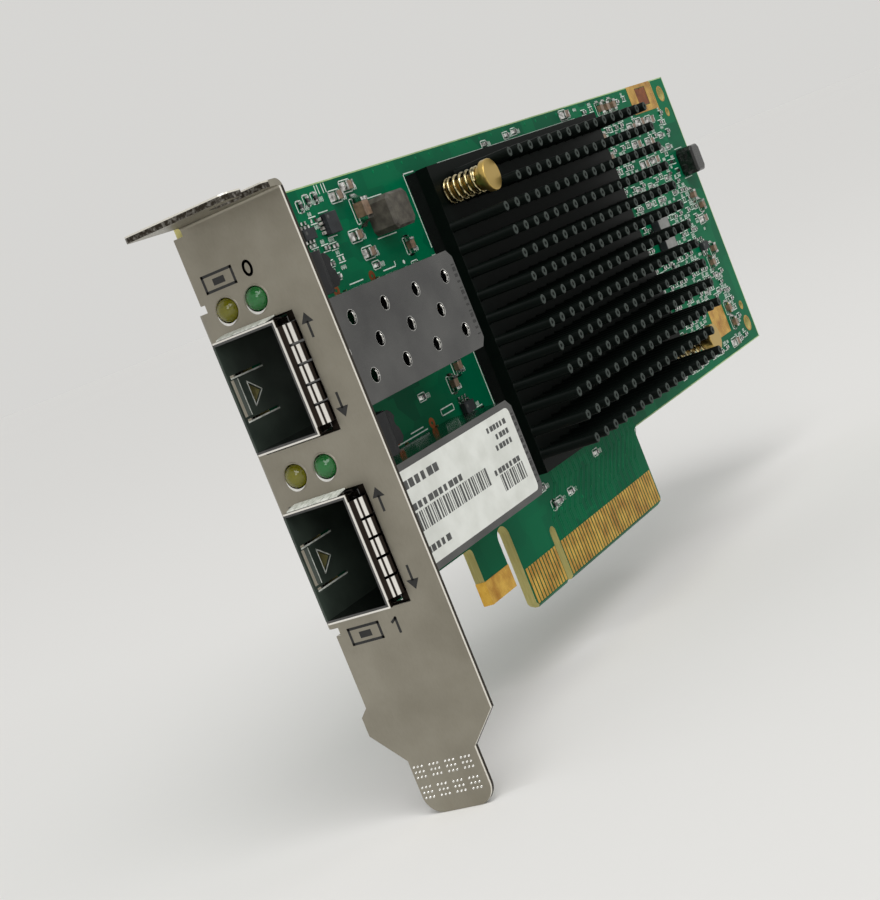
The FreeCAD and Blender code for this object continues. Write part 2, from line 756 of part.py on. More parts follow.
def cage_shell(end, port):
    """One folded cage: roof, side walls, rear wall, vents and the legs pressed into the board."""
    label = "cage_shell_" + end
    body = new_body(label)
    depth = d.cage_top - board_face
    outside = Profile(body, label + "_outside", "XZ_Plane", board_face)
    outside.polygon(cage_outline(as_dim(0)))
    pad(body, outside, depth)
    inside = Profile(body, label + "_inside", "XZ_Plane", board_face)
    inside.polygon(cage_outline(d.cage_sheet))
    pocket(body, inside, depth - d.cage_sheet, along_normal=True)

    outer_vents = Profile(body, label + "_outer_vents", "XZ_Plane", d.cage_top)
    for row in (d.vent_row, -d.vent_row):
        outer_vents.regular(d.vent_start, row, d.vent_radius, whole(d.vent_sides))
    pattern(body, pocket(body, outer_vents, d.cage_sheet), "X_Axis", d.vent_pitch, d.vent_count)
    middle_vent = Profile(body, label + "_middle_vent", "XZ_Plane", d.cage_top)
    start = d.vent_start + d.vent_pitch / 2
    middle_vent.regular(start, as_dim(0), d.vent_radius, whole(d.vent_sides))
    pattern(body, pocket(body, middle_vent, d.cage_sheet), "X_Axis", d.vent_pitch, d.vent_count - 1)

    tail_gap = Profile(body, label + "_tail_gap", "YZ_Plane", d.cage_rear)
    side = cage_half - d.cage_rear_opening_margin
    tail_gap.rectangle(heights(board_face, board_face + d.cage_rear_opening_height), (-side, side))
    pocket(body, tail_gap, d.cage_sheet)

    legs = Profile(body, label + "_legs", "XZ_Plane", board_face)
    half = d.leg_width / 2
    for x in leg_places():
        legs.rectangle((x - half, x + half), (cage_half - d.cage_sheet, cage_half))
        legs.rectangle((x - half, x + half), (-cage_half, d.cage_sheet - cage_half))
    pad(body, legs, board_face + d.leg_reach, reverse=True)
    return place(body, z=port)


def cage_floor(end, port):
    """Floor plate of a cage: the latch tongue with its two slits, folded front lip and triangular hole."""
    label = "cage_floor_" + end
    body = new_body(label)
    side = cage_half - d.cage_sheet
    plate = Profile(body, label + "_plate", "XZ_Plane", board_face)
    plate.rectangle((d.cage_front, d.floor_rear), (-side, side))
    pad(body, plate, d.cage_sheet)
    latch = Profile(body, label + "_latch", "XZ_Plane", board_face)
    half = d.latch_slit_width / 2
    for middle in (d.latch_slit_place, -d.latch_slit_place):
        latch.rectangle((d.latch_slit_front, d.latch_slit_rear), (middle - half, middle + half))
    latch.polygon([
        (d.latch_hole_front, -d.latch_hole_half_width), (d.latch_hole_rear, as_dim(0)),
        (d.latch_hole_front, d.latch_hole_half_width),
    ])
    front_gap = (-d.latch_gap_half_width, d.latch_gap_half_width)
    latch.rectangle((d.latch_gap_front, d.latch_gap_rear), front_gap)
    pocket(body, latch)
    lip = Profile(body, label + "_lip", "XZ_Plane", board_face)
    lip.rectangle((d.latch_gap_rear, d.latch_gap_rear + d.cage_sheet), front_gap)
    pad(body, lip, d.latch_lip_drop, reverse=True)
    return place(body, z=port)


def strip(front, low, crest, crest_high, rear):
    """Section of a sprung strip that leaves a surface, peaks at a crest and returns to it."""
    return [
        (front, low), (front, low + d.gasket_roll), (crest, crest_high), (rear, low + d.gasket_sheet),
        (rear, low), (crest, crest_high - d.gasket_sheet), (front + d.gasket_roll_length, low),
    ]


def gasket(end, port):
    """Collar of spring fingers round a cage's mouth, held together by a rolled front edge."""
    label = "gasket_" + end
    body = new_body(label)
    outer = cage_half + d.gasket_roll
    top = d.cage_top + d.gasket_roll
    roll = Profile(body, label + "_roll", "YZ_Plane", d.cage_front)
    foot = -board_face - d.gasket_sheet
    roll.polygon([
        (foot, -outer), (-top, -outer), (-top, outer), (foot, outer),
        (foot, cage_half), (-d.cage_top, cage_half), (-d.cage_top, -cage_half), (foot, -cage_half),
    ])
    pad(body, roll, d.gasket_roll_length)

    roof = Profile(body, label + "_roof", "XY_Plane")
    section = strip(d.cage_front, d.cage_top, d.gasket_crest, d.gasket_crest_height, d.gasket_rear)
    roof.polygon([(x, -height) for x, height in section])
    pad(body, roof, d.gasket_width, midplane=True)

    bulge = cage_half + d.gasket_side_bulge
    section = strip(d.cage_front, cage_half, d.gasket_crest, bulge, d.gasket_side_rear)
    sides = Profile(body, label + "_sides", "XZ_Plane", d.gasket_side_low)
    sides.polygon(section)
    sides.polygon([(x, -across) for x, across in section])
    pad(body, sides, d.gasket_side_high - d.gasket_side_low)

    half = d.gasket_slit / 2
    slit_front = d.cage_front + d.gasket_roll_length
    roof_slits = Profile(body, label + "_roof_slits", "XZ_Plane", d.cage_top)
    finger = d.gasket_width / d.gasket_top_fingers
    for step in range(1, whole(d.gasket_top_fingers)):
        middle = finger * step - d.gasket_width / 2
        roof_slits.rectangle((slit_front, d.gasket_rear), (middle - half, middle + half))
    pocket(body, roof_slits, d.gasket_crest_height - d.cage_top, along_normal=True)
    side_slits = Profile(body, label + "_side_slits", "XY_Plane")
    finger = (d.gasket_side_high - d.gasket_side_low) / d.gasket_side_fingers
    for step in range(1, whole(d.gasket_side_fingers)):
        middle = -d.gasket_side_low - finger * step
        side_slits.rectangle((slit_front, d.gasket_side_rear), (middle - half, middle + half))
    pocket(body, side_slits)
    return place(body, z=port)


def host_connector(end, port):
    """Moulded socket at the back of a cage, with a slot for the module's card edge."""
    label = "host_connector_" + end
    body = new_body(label)
    half = d.socket_width / 2
    outside = Profile(body, label + "_outside", "YZ_Plane", d.socket_front)
    outside.rectangle(heights(board_face, d.socket_top), (-half, half))
    pad(body, outside, d.socket_rear - d.socket_front)
    slot_half = d.socket_slot_width / 2
    slot = Profile(body, label + "_slot", "YZ_Plane", d.socket_front)
    slot.rectangle(heights(d.socket_slot_low, d.socket_slot_high), (-slot_half, slot_half))
    pocket(body, slot, d.socket_rear - d.socket_front, along_normal=True)
    return place(body, z=port)


def cut_into_leads(body, name, plane, row_span, across_span, count, pitch, width):
    """Cuts a bent strip across its length into evenly spaced leads."""
    gaps = Profile(body, name + "_gaps", plane)
    for step in range(1, count):
        gap_start = row_span[0] + pitch * (step - 1) + width
        gaps.rectangle(*across_span(gap_start, gap_start + pitch - width))
    pocket(body, gaps)


def host_contacts(end, port):
    """Both rows of contacts of a socket, bent down to the board behind it."""
    label = "host_contacts_" + end
    metal = d.socket_contact_sheet
    upper_bend = d.socket_upper_bend
    lower_bend = d.socket_lower_bend
    upper_row = [
        (d.socket_contact_front, d.socket_slot_high), (upper_bend, d.socket_slot_high),
        (upper_bend, board_face + metal), (d.socket_foot, board_face + metal), (d.socket_foot, board_face),
        (upper_bend - metal, board_face), (upper_bend - metal, d.socket_slot_high - metal),
        (d.socket_contact_front, d.socket_slot_high - metal),
    ]
    lower_row = [
        (d.socket_contact_front, d.socket_slot_low + metal), (lower_bend, d.socket_slot_low + metal),
        (lower_bend, board_face), (lower_bend - metal, board_face),
        (lower_bend - metal, d.socket_slot_low), (d.socket_contact_front, d.socket_slot_low),
    ]
    count = whole(d.socket_contact_count)
    width = d.socket_contact_width
    length = d.socket_contact_pitch * (count - 1) + width
    rows = []
    for name, section in ((label + "_top_row", upper_row), (label + "_low_row", lower_row)):
        body = new_body(name)
        profile = Profile(body, name + "_bend", "XY_Plane")
        profile.polygon([(x, -height) for x, height in section])
        pad(body, profile, length, midplane=True)
        columns = (d.socket_contact_front - width, d.socket_foot + width)
        cut_into_leads(
            body, name, "XZ_Plane", (-length / 2, length / 2),
            lambda low, high: (columns, (low, high)), count, d.socket_contact_pitch, width)
        rows.append(place(body, z=port))
    return group(label, rows)


def light_housing(end, level):
    """Black holder for two lights, with a rounded upper rear edge and a bore for each lens."""
    label = "light_housing_" + end
    body = new_body(label)
    side = Profile(body, label + "_side", "XY_Plane")
    side.rectangle((d.housing_front, d.housing_rear), heights(board_face, d.housing_top))
    pad(body, side, d.housing_width, midplane=True)
    bores = Profile(body, label + "_bores", "YZ_Plane", d.housing_front)
    for height in (d.yellow_light_height, d.green_light_height):
        bores.circle(-height, as_dim(0), d.light_radius)
    pocket(body, bores, d.light_seat - d.housing_front, along_normal=True)
    round_edges(body, edges_at(body.Shape, x=d.housing_rear, y=-d.housing_top), d.housing_corner)
    return place(body, z=level)


def lights(label, height):
    """The lenses of one colour, each a short rod with a domed end turned in a few steps."""
    steps = whole(d.light_dome_steps)
    dome_middle = d.light_tip + d.light_radius
    dome = []
    for step in range(steps + 1):
        angle = math.pi / 2 * step / steps
        dome.append((dome_middle - d.light_radius * math.cos(angle), d.light_radius * math.sin(angle)))
    lenses = []
    for end, _, level in PORTS:
        name = "%s_%s" % (label, end)
        body = new_body(name)
        half = Profile(body, name + "_half", "XY_Plane")
        half.polygon(dome + [(d.light_seat, d.light_radius), (d.light_seat, as_dim(0))])
        turn(body, half, "H_Axis")
        lenses.append(place(body, y=-height, z=level))
    return group(label, lenses)


def heatsink():
    """Pin-fin heat sink: a base plate with rows of six-sided pins, clear round the two push pins."""
    body = new_body("heatsink")
    front = d.fin_column_start - d.fin_radius
    tail = d.fin_column_start + d.fin_column_pitch * (d.fin_columns - 1) + d.fin_radius
    last_row = d.fin_row_start + d.fin_row_pitch * (d.fin_rows - 1)
    base = Profile(body, "sink_base", "XZ_Plane", d.sink_bottom)
    base.rectangle((front, tail), (d.sink_lower_edge, d.sink_upper_edge))
    for x, z in PINS:
        base.circle(x, z, d.pin_hole_radius)
    pad(body, base, d.sink_base_top - d.sink_bottom)

    fin = Profile(body, "sink_fin", "XZ_Plane", d.sink_base_top)
    fin.regular(d.fin_column_start, d.fin_row_start, d.fin_radius, 6)
    rows = pattern(
        body, pad(body, fin, d.sink_top - d.sink_base_top), "X_Axis", d.fin_column_pitch, d.fin_columns)
    bind(rows, "Length2", d.fin_row_pitch * (d.fin_rows - 1))
    bind(rows, "Occurrences2", d.fin_rows)
    rows.Direction2 = ([item for item in body.Origin.OriginFeatures if item.Role == "Z_Axis"][0], [""])
    doc.recompute()

    corners = Profile(body, "sink_corners", "XZ_Plane", d.sink_base_top)
    reach_x = d.fin_column_pitch * 1.5 + d.fin_radius
    reach_z = d.pin_cap_radius + d.pin_clearing
    corners.rectangle((front, front + reach_x), (d.pin_z - reach_z, last_row + d.fin_radius))
    corners.rectangle((tail - reach_x, tail), (d.fin_row_start - d.fin_radius, far_pin_z + reach_z))
    pocket(body, corners, d.sink_top - d.sink_base_top, along_normal=True)
    return body


def controller():
    """The controller under the heat sink: substrate, metal lid and the pad that fills the gap."""
    def square(label, size, low, high):
        half = size / 2
        body = new_body(label)
        plan = Profile(body, label + "_plan", "XZ_Plane", low)
        columns = (d.controller_x - half, d.controller_x + half)
        plan.rectangle(columns, (d.controller_z - half, d.controller_z + half))
        pad(body, plan, high - low)
        return body, columns

    substrate, _ = square("controller_substrate", d.substrate_size, board_face, d.substrate_top)
    lid, columns = square("controller_lid", d.lid_size, d.substrate_top, d.lid_top)
    corners = []
    for x in columns:
        for z in (d.controller_z - d.lid_size / 2, d.controller_z + d.lid_size / 2):
            corners += edges_at(lid.Shape, x=x, z=z)
    round_edges(lid, corners, d.lid_corner)
    thermal_pad, _ = square("thermal_pad", d.lid_size - d.lid_corner * 2, d.lid_top, d.sink_bottom)
    return substrate, lid, thermal_pad


def push_pins():
    """Turned pins with a flat cap, a spring collar and a barb behind the board."""
    barb_start = -board_face - d.plating
    pins = []
    for number, (x, z) in enumerate(PINS, start=1):
        body = new_body("push_pin_%d" % number)
        half = Profile(body, "push_pin_%d_half" % number, "XY_Plane")
        outline = [
            (as_dim(0), d.pin_cap_top), (d.pin_cap_radius, d.pin_cap_top), (d.pin_cap_radius, d.pin_cap_low),
            (d.pin_collar_radius, d.pin_cap_low), (d.pin_collar_radius, d.pin_collar_low),
            (d.pin_shank_radius, d.pin_collar_low), (d.pin_shank_radius, barb_start),
            (d.pin_barb_radius, barb_start), (d.pin_tip_radius, -d.pin_tip_reach),
            (as_dim(0), -d.pin_tip_reach),
        ]
        half.polygon([(radius, -height) for radius, height in outline])
        turn(body, half, "V_Axis")
        pins.append(place(body, x=x, z=z))
    return group("push_pins", pins)


def coil_points(x, z, start, rise):
    """Corners of a coil drawn as short straight runs, rising from the heat sink's base."""
    runs = whole(d.spring_turns) * whole(d.spring_runs)
    points = []
    for step in range(runs + 1):
        angle = math.tau * step / whole(d.spring_runs)
        across = d.spring_radius.value * math.cos(angle)
        upwards = d.spring_radius.value * math.sin(angle)
        height = start.value + rise.value * step / runs
        points.append(FreeCAD.Vector(x.value + across, -height, z.value + upwards))
    return points


def push_pin_springs():
    """Coil springs between the heat sink's base and the pins' collars, of six-sided wire."""
    start = d.sink_base_top + d.spring_wire_radius + d.spring_seat
    rise = d.pin_collar_low - d.spring_wire_radius - d.spring_seat - start
    springs = []
    for number, (x, z) in enumerate(PINS, start=1):
        coil = doc.addObject("Part::Polygon", "spring_coil_%d" % number)
        coil.Nodes = coil_points(x, z, start, rise)
        wire = doc.addObject("Part::RegularPolygon", "spring_wire_%d" % number)
        wire.Polygon = 6
        first_run = coil.Nodes[1] - coil.Nodes[0]
        along_run = FreeCAD.Rotation(FreeCAD.Vector(0, 0, 1), first_run)
        corner_down = FreeCAD.Rotation(FreeCAD.Vector(0, 0, 1), 30)
        wire.Placement.Rotation = along_run.multiply(corner_down)
        bind(wire, "Circumradius", d.spring_wire_radius)
        place(wire, x=x + d.spring_radius, y=-start, z=z)
        doc.recompute()
        spring = doc.addObject("Part::Sweep", "spring_%d" % number)
        spring.Sections = [wire]
        spring.Spine = (coil, ["Edge%d" % (index + 1) for index in range(len(coil.Shape.Edges))])
        spring.Solid = True
        spring.Transition = "Right corner"
        springs.append(spring)
    return group("push_pin_springs", springs)


def end_capped_chip(name, x, z, axis, length, width, height, end):
    """One chip component: its body, and the two metal ends that stand slightly proud of it."""
    def lying(along, across, high):
        spans = ((x + along[0], x + along[1]), (z + across[0], z + across[1]))
        if axis == "z":
            spans = ((x + across[0], x + across[1]), (z + along[0], z + along[1]))
        return spans[0], heights(board_face, board_face + high), spans[1]

    x = as_dim(x)
    z = as_dim(z)
    half = length / 2
    inner = half - end
    side = width / 2
    outer_side = side + d.end_cap_proud
    body = block(name + "_body", *lying((-inner, inner), (-side, side), height))
    ends = []
    for mark, along in (("a", (-half, -inner)), ("b", (inner, half))):
        spans = lying(along, (-outer_side, outer_side), height + d.end_cap_proud)
        ends.append(block("%s_end_%s" % (name, mark), *spans))
    return body, ends


def chip_components(kind, places, sizes):
    """All chips of one kind as two sub-parts: the bodies and their metal ends."""
    bodies = []
    ends = []
    for number, (x, z, axis) in enumerate(places, start=1):
        body, both = end_capped_chip("%s_%d" % (kind, number), x, z, axis, *sizes)
        bodies.append(body)
        ends += both
    return bodies, ends


def capacitors():
    """The capacitors of the usual size and the one tall bulk capacitor."""
    sizes = (d.capacitor_length, d.capacitor_width, d.capacitor_height, d.capacitor_end)
    bodies, ends = chip_components("capacitor", CAPACITOR_PLACES, sizes)
    sizes = (d.bulk_length, d.bulk_width, d.bulk_height, d.bulk_end)
    body, both = end_capped_chip("bulk_capacitor", d.bulk_x, d.bulk_z, "z", *sizes)
    return group("capacitor_bodies", bodies + [body]), group("capacitor_terminals", ends + both)


def resistors():
    """The small resistors."""
    sizes = (d.resistor_length, d.resistor_width, d.resistor_height, d.resistor_end)
    bodies, ends = chip_components("resistor", RESISTOR_PLACES, sizes)
    return group("resistor_bodies", bodies), group("resistor_terminals", ends)


def small_chips():
    """The small integrated circuits and their gull-wing leads."""
    bodies = []
    leads = []
    for number, (x, z, angle, length, width, height, pitch, count) in enumerate(CHIPS, start=1):
        name = "chip_%d" % number
        side = as_dim(width) / 2
        half = as_dim(length) / 2
        low = board_face + d.chip_gap
        moulding = new_body(name)
        plan = Profile(moulding, name + "_plan", "XZ_Plane", low)
        plan.rectangle((-half, half), (-side, side))
        pad(moulding, plan, board_face + height - low)
        bodies.append(place(moulding, x=x, z=z))
        middle = board_face + as_dim(height) / 2
        metal = d.lead_sheet
        reach = side + d.lead_reach
        wing = side + d.lead_reach * 0.4
        section = [
            (middle, side), (middle, wing), (board_face + metal, wing + metal), (board_face + metal, reach),
            (board_face, reach), (board_face, wing), (middle - metal, wing - metal), (middle - metal, side),
        ]
        row_length = as_dim(pitch) * (count - 1) + d.lead_width
        body = new_body(name + "_leads")
        wings = Profile(body, name + "_wings", "YZ_Plane")
        wings.polygon([(-height_at, across) for height_at, across in section])
        wings.polygon([(-height_at, -across) for height_at, across in section])
        pad(body, wings, row_length, midplane=True)
        rows = (-reach - metal, reach + metal)
        cut_into_leads(
            body, name, "XZ_Plane", (-row_length / 2, row_length / 2),
            lambda low, high: ((low, high), rows), count, as_dim(pitch), d.lead_width)
        leads.append(place(body, x=x, z=z))
        for item in (moulding, body):
            item.Placement.Rotation = FreeCAD.Rotation(FreeCAD.Vector(0, 1, 0), angle)
    return group("chip_bodies", bodies), group("chip_leads", leads)


def inductor(label, outline, height):
    """A moulded inductor with bevelled corners and top."""
    front, tail, low, high = outline
    body = new_body(label)
    plan = Profile(body, label + "_plan", "XZ_Plane", board_face)
    plan.rectangle((front, tail), (low, high))
    pad(body, plan, height)
    corners = []
    for x in (front, tail):
        for z in (low, high):
            corners += edges_at(body.Shape, x=x, z=z)
    bevel_edges(body, corners, d.inductor_corner)
    bevel_edges(body, edges_at(body.Shape, y=-board_face - height), d.inductor_bevel)
    return body


def cage_label():
    """Paper label on the roof of the lower cage."""
    columns = (d.label_front, d.label_rear)
    thickness = heights(d.cage_top, d.cage_top + d.label_sheet)
    return block("cage_label", columns, thickness, (d.label_lower, d.label_upper))


def build_card():
    """Builds every sub-part and returns them in order."""
    parts = [
        circuit_board(),
        edge_contacts("edge_contacts_front", heights(board_face, board_face + d.plating)),
        edge_contacts("edge_contacts_rear", (board_face, board_face + d.plating)),
        ground_tab_plating(),
        corner_pads(),
        bracket(),
        bracket_rivets(),
    ]
    for end, port, level in PORTS:
        parts.append(cage_shell(end, port))
        parts.append(cage_floor(end, port))
        parts.append(gasket(end, port))
        parts.append(host_connector(end, port))
        parts.append(host_contacts(end, port))
        parts.append(light_housing(end, level))
    parts.append(lights("yellow_lights", d.yellow_light_height))
    parts.append(lights("green_lights", d.green_light_height))
    parts.append(heatsink())
    parts.extend(controller())
    parts.append(push_pins())
    parts.append(push_pin_springs())
    parts.extend(capacitors())
    parts.extend(resistors())
    parts.extend(small_chips())
    parts.append(inductor("bracket_end_inductor", FRONT_INDUCTOR, d.front_inductor_height))
    parts.append(inductor("tail_inductor", TAIL_INDUCTOR, d.tail_inductor_height))
    parts.append(cage_label())
    doc.recompute()
    return parts


def check(parts):
    """Stops if any object failed to build or any sub-part is not a sound solid."""
    for item in doc.Objects:
        if "Invalid" in item.State or "Error" in item.State:
            raise RuntimeError("%s failed: %s" % (item.Label, item.State))
    for part in parts:
        if part.Shape.isNull() or not part.Shape.isValid() or not part.Shape.Solids:
            raise RuntimeError("%s has no sound solid" % part.Label)


def write(parts):
    """Writes each sub-part to a file of its own, named by its label."""
    os.makedirs("parts", exist_ok=True)
    for part in parts:
        part.Shape.exportStep("parts/%s.step" % part.Label)


sub_parts = build_card()
check(sub_parts)
write(sub_parts)
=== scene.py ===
"""Looks of a low-profile, dual-port fibre channel adapter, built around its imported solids.

Places are in millimetres in the card's own frame, and turned to metres where a mesh is made. X runs from
the bracket to the tail of the card, Y from the component side to the solder side, Z up from the lower edge
of the contact tongue. Thin shapes are drawn on flat faces of the card, across and up each face.
"""

import logging
import math
from collections.abc import Sequence
from dataclasses import dataclass
from enum import IntEnum

import bmesh
import bpy
from mathutils import Matrix, Vector


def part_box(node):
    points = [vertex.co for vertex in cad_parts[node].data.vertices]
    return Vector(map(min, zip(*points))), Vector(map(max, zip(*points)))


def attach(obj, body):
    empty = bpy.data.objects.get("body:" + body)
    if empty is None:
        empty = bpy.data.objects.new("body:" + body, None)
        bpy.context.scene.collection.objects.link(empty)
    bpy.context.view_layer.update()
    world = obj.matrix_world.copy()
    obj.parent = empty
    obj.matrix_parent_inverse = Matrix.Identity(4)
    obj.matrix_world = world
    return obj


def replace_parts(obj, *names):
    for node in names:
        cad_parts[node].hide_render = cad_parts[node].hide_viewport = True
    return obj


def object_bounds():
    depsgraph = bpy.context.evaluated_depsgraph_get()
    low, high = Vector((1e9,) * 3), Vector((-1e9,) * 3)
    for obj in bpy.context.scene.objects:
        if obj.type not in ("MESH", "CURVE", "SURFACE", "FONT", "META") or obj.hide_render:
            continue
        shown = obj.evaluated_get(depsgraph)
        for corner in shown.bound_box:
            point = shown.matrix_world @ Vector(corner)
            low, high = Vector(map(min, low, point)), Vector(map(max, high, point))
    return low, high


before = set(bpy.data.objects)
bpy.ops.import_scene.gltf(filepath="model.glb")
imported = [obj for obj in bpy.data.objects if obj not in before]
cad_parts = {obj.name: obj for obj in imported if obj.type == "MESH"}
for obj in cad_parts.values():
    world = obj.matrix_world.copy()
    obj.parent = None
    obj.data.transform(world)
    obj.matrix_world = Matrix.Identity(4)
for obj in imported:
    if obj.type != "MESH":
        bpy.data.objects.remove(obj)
CAD_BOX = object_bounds()

LOG = logging.getLogger("fibre_channel_adapter")
MM = 0.001
IMAGE_WIDTH = 880
# Scale of a wave node whose bands come once in a unit of its coordinates.
BANDS = 0.314
# Distance in metres within which corners are one, and angle from which an edge is sharp.
WELD_DISTANCE = 0.001 * MM
SHARP_ANGLE = math.radians(40)
# X of the bracket's outer side and of the lenses' tips in millimetres.
BRACKET_FRONT = -59.05
LENS_TIP = -60.1

Point = tuple[float, float]
Path = Sequence[Point]
Box = tuple[Vector, Vector]
Tree = bpy.types.NodeTree
Node = bpy.types.Node
Source = Node | bpy.types.NodeSocket | str | float | Sequence[float]


def linear(code: str) -> tuple[float, float, float, float]:
    """Turn an sRGB hex colour into a linear one.

    Args:
        code: Colour such as "#80A0C0".

    Returns:
        Linear red, green and blue, and an alpha of one.
    """
    channels = [int(code[start:start + 2], 16) / 255 for start in (1, 3, 5)]
    parts = [c / 12.92 if c <= 0.04045 else ((c + 0.055) / 1.055) ** 2.4 for c in channels]
    return (parts[0], parts[1], parts[2], 1.0)


def feed(node: Node, inputs: dict[str | int, Source]) -> None:
    """Link or set the inputs of a shader node.

    Args:
        node: The node.
        inputs: What feeds each input, by its name or number: a socket, a node, which stands for its first
            output in use, a hex colour or a fixed value.
    """
    for name, source in inputs.items():
        if isinstance(source, Node):
            source = next(output for output in source.outputs if output.enabled)
        if isinstance(source, bpy.types.NodeSocket):
            node.id_data.links.new(source, node.inputs[name])
        else:
            node.inputs[name].default_value = linear(source) if isinstance(source, str) else source


def add_node(
    tree: Tree, kind: str, inputs: dict[str | int, Source] | None = None, **settings: object
) -> Node:
    """Add a shader node with its settings and links.

    Args:
        tree: Node tree that gets the node.
        kind: Type of the node without its common prefix, such as "TexNoise".
        inputs: What feeds each of its inputs, by the input's name or number.
        settings: Properties of the node itself.

    Returns:
        The new node.
    """
    node = tree.nodes.new("ShaderNode" + kind)
    for name, value in settings.items():
        setattr(node, name, value)
    feed(node, inputs or {})
    return node


class Mix(IntEnum):
    """Numbers of the colour inputs on a mix node, whose names repeat for each type of data."""

    SHARE = 0
    FIRST = 6
    SECOND = 7


@dataclass(frozen=True)
class Finish:
    """What a surface is made of and how it was made.

    Attributes:
        name: Name of the material, after the real one.
    """

    name: str

    def material(self) -> bpy.types.Material:
        """Make the finish as a material, the first time it is asked for.

        Returns:
            The material.
        """
        made = bpy.data.materials.get(self.name)
        if made is None:
            made = bpy.data.materials.new(self.name)
            made.use_nodes = True
            tree = made.node_tree
            metres = add_node(tree, "TexCoord").outputs["Object"]
            place = add_node(tree, "Mapping", {"Vector": metres, "Scale": [1 / MM] * 3})
            feed(tree.nodes["Principled BSDF"], self.shade(tree, place))
        return made

    def shade(self, tree: Tree, place: Node) -> dict[str, Source]:
        """Add the nodes of the finish, which each kind of finish does in its own way.

        Args:
            tree: Node tree of the material.
            place: Node that gives the place on the card in millimetres.

        Returns:
            What feeds each input of the shader.
        """
        raise NotImplementedError


@dataclass(frozen=True)
class Grained(Finish):
    """A surface with cloudy shades of one colour and a fine grain.

    Attributes:
        light: Lighter shade of the colour.
        dark: Darker shade of the colour.
        roughness: Least and greatest roughness.
        cloud: Width of the cloudy shades in millimetres.
        grain: Width of the grain in millimetres.
        depth: Depth of the grain in millimetres.
        stretch: How the grain is drawn out along each axis.
        metallic: One for metal, nought for the rest.
        ior: Index of refraction, used where the surface isn't metal.
        sheen: Share of the usual mirror reflection that the surface keeps, half for the usual one.
        coat: Strength of a clear skin.
    """

    light: str = "#808080"
    dark: str = "#606060"
    roughness: Point = (0.3, 0.5)
    cloud: float = 6.0
    grain: float = 0.3
    depth: float = 0.002
    stretch: tuple[float, float, float] = (1.0, 1.0, 1.0)
    metallic: float = 0.0
    ior: float = 1.5
    sheen: float = 0.5
    coat: float = 0.0

    def shade(self, tree: Tree, place: Node) -> dict[str, Source]:
        """Put clouds in the colour, and grain in the roughness and the relief.

        Args:
            tree: Node tree of the material.
            place: Node that gives the place on the card in millimetres.

        Returns:
            What feeds each input of the shader.
        """
        clouds = add_node(tree, "TexNoise", {"Vector": place, "Scale": 1 / self.cloud, "Detail": 4.0})
        spread = add_node(tree, "MapRange", {"Value": clouds, "From Min": 0.32, "From Max": 0.68})
        shades = {Mix.SHARE: spread, Mix.FIRST: self.light, Mix.SECOND: self.dark}
        drawn = add_node(tree, "Mapping", {"Vector": place, "Scale": self.stretch})
        grain = add_node(tree, "TexNoise", {"Vector": drawn, "Scale": 1 / self.grain, "Detail": 2.0})
        least, most = self.roughness
        gloss = {"Value": grain, "From Min": 0.3, "From Max": 0.7, "To Min": least, "To Max": most}
        relief = {"Height": grain, "Strength": 0.6, "Distance": self.depth * MM}
        inputs = {
            "Base Color": add_node(tree, "Mix", shades, data_type="RGBA"),
            "Roughness": add_node(tree, "MapRange", gloss),
            "Normal": add_node(tree, "Bump", relief),
            "Metallic": self.metallic,
            "Coat Weight": self.coat,
        }
        if not self.metallic:
            inputs.update({"IOR": self.ior, "Specular IOR Level": self.sheen})
        return inputs


@dataclass(frozen=True)
class Metal(Grained):
    """A grained surface of bare or plated metal."""

    metallic: float = 1.0


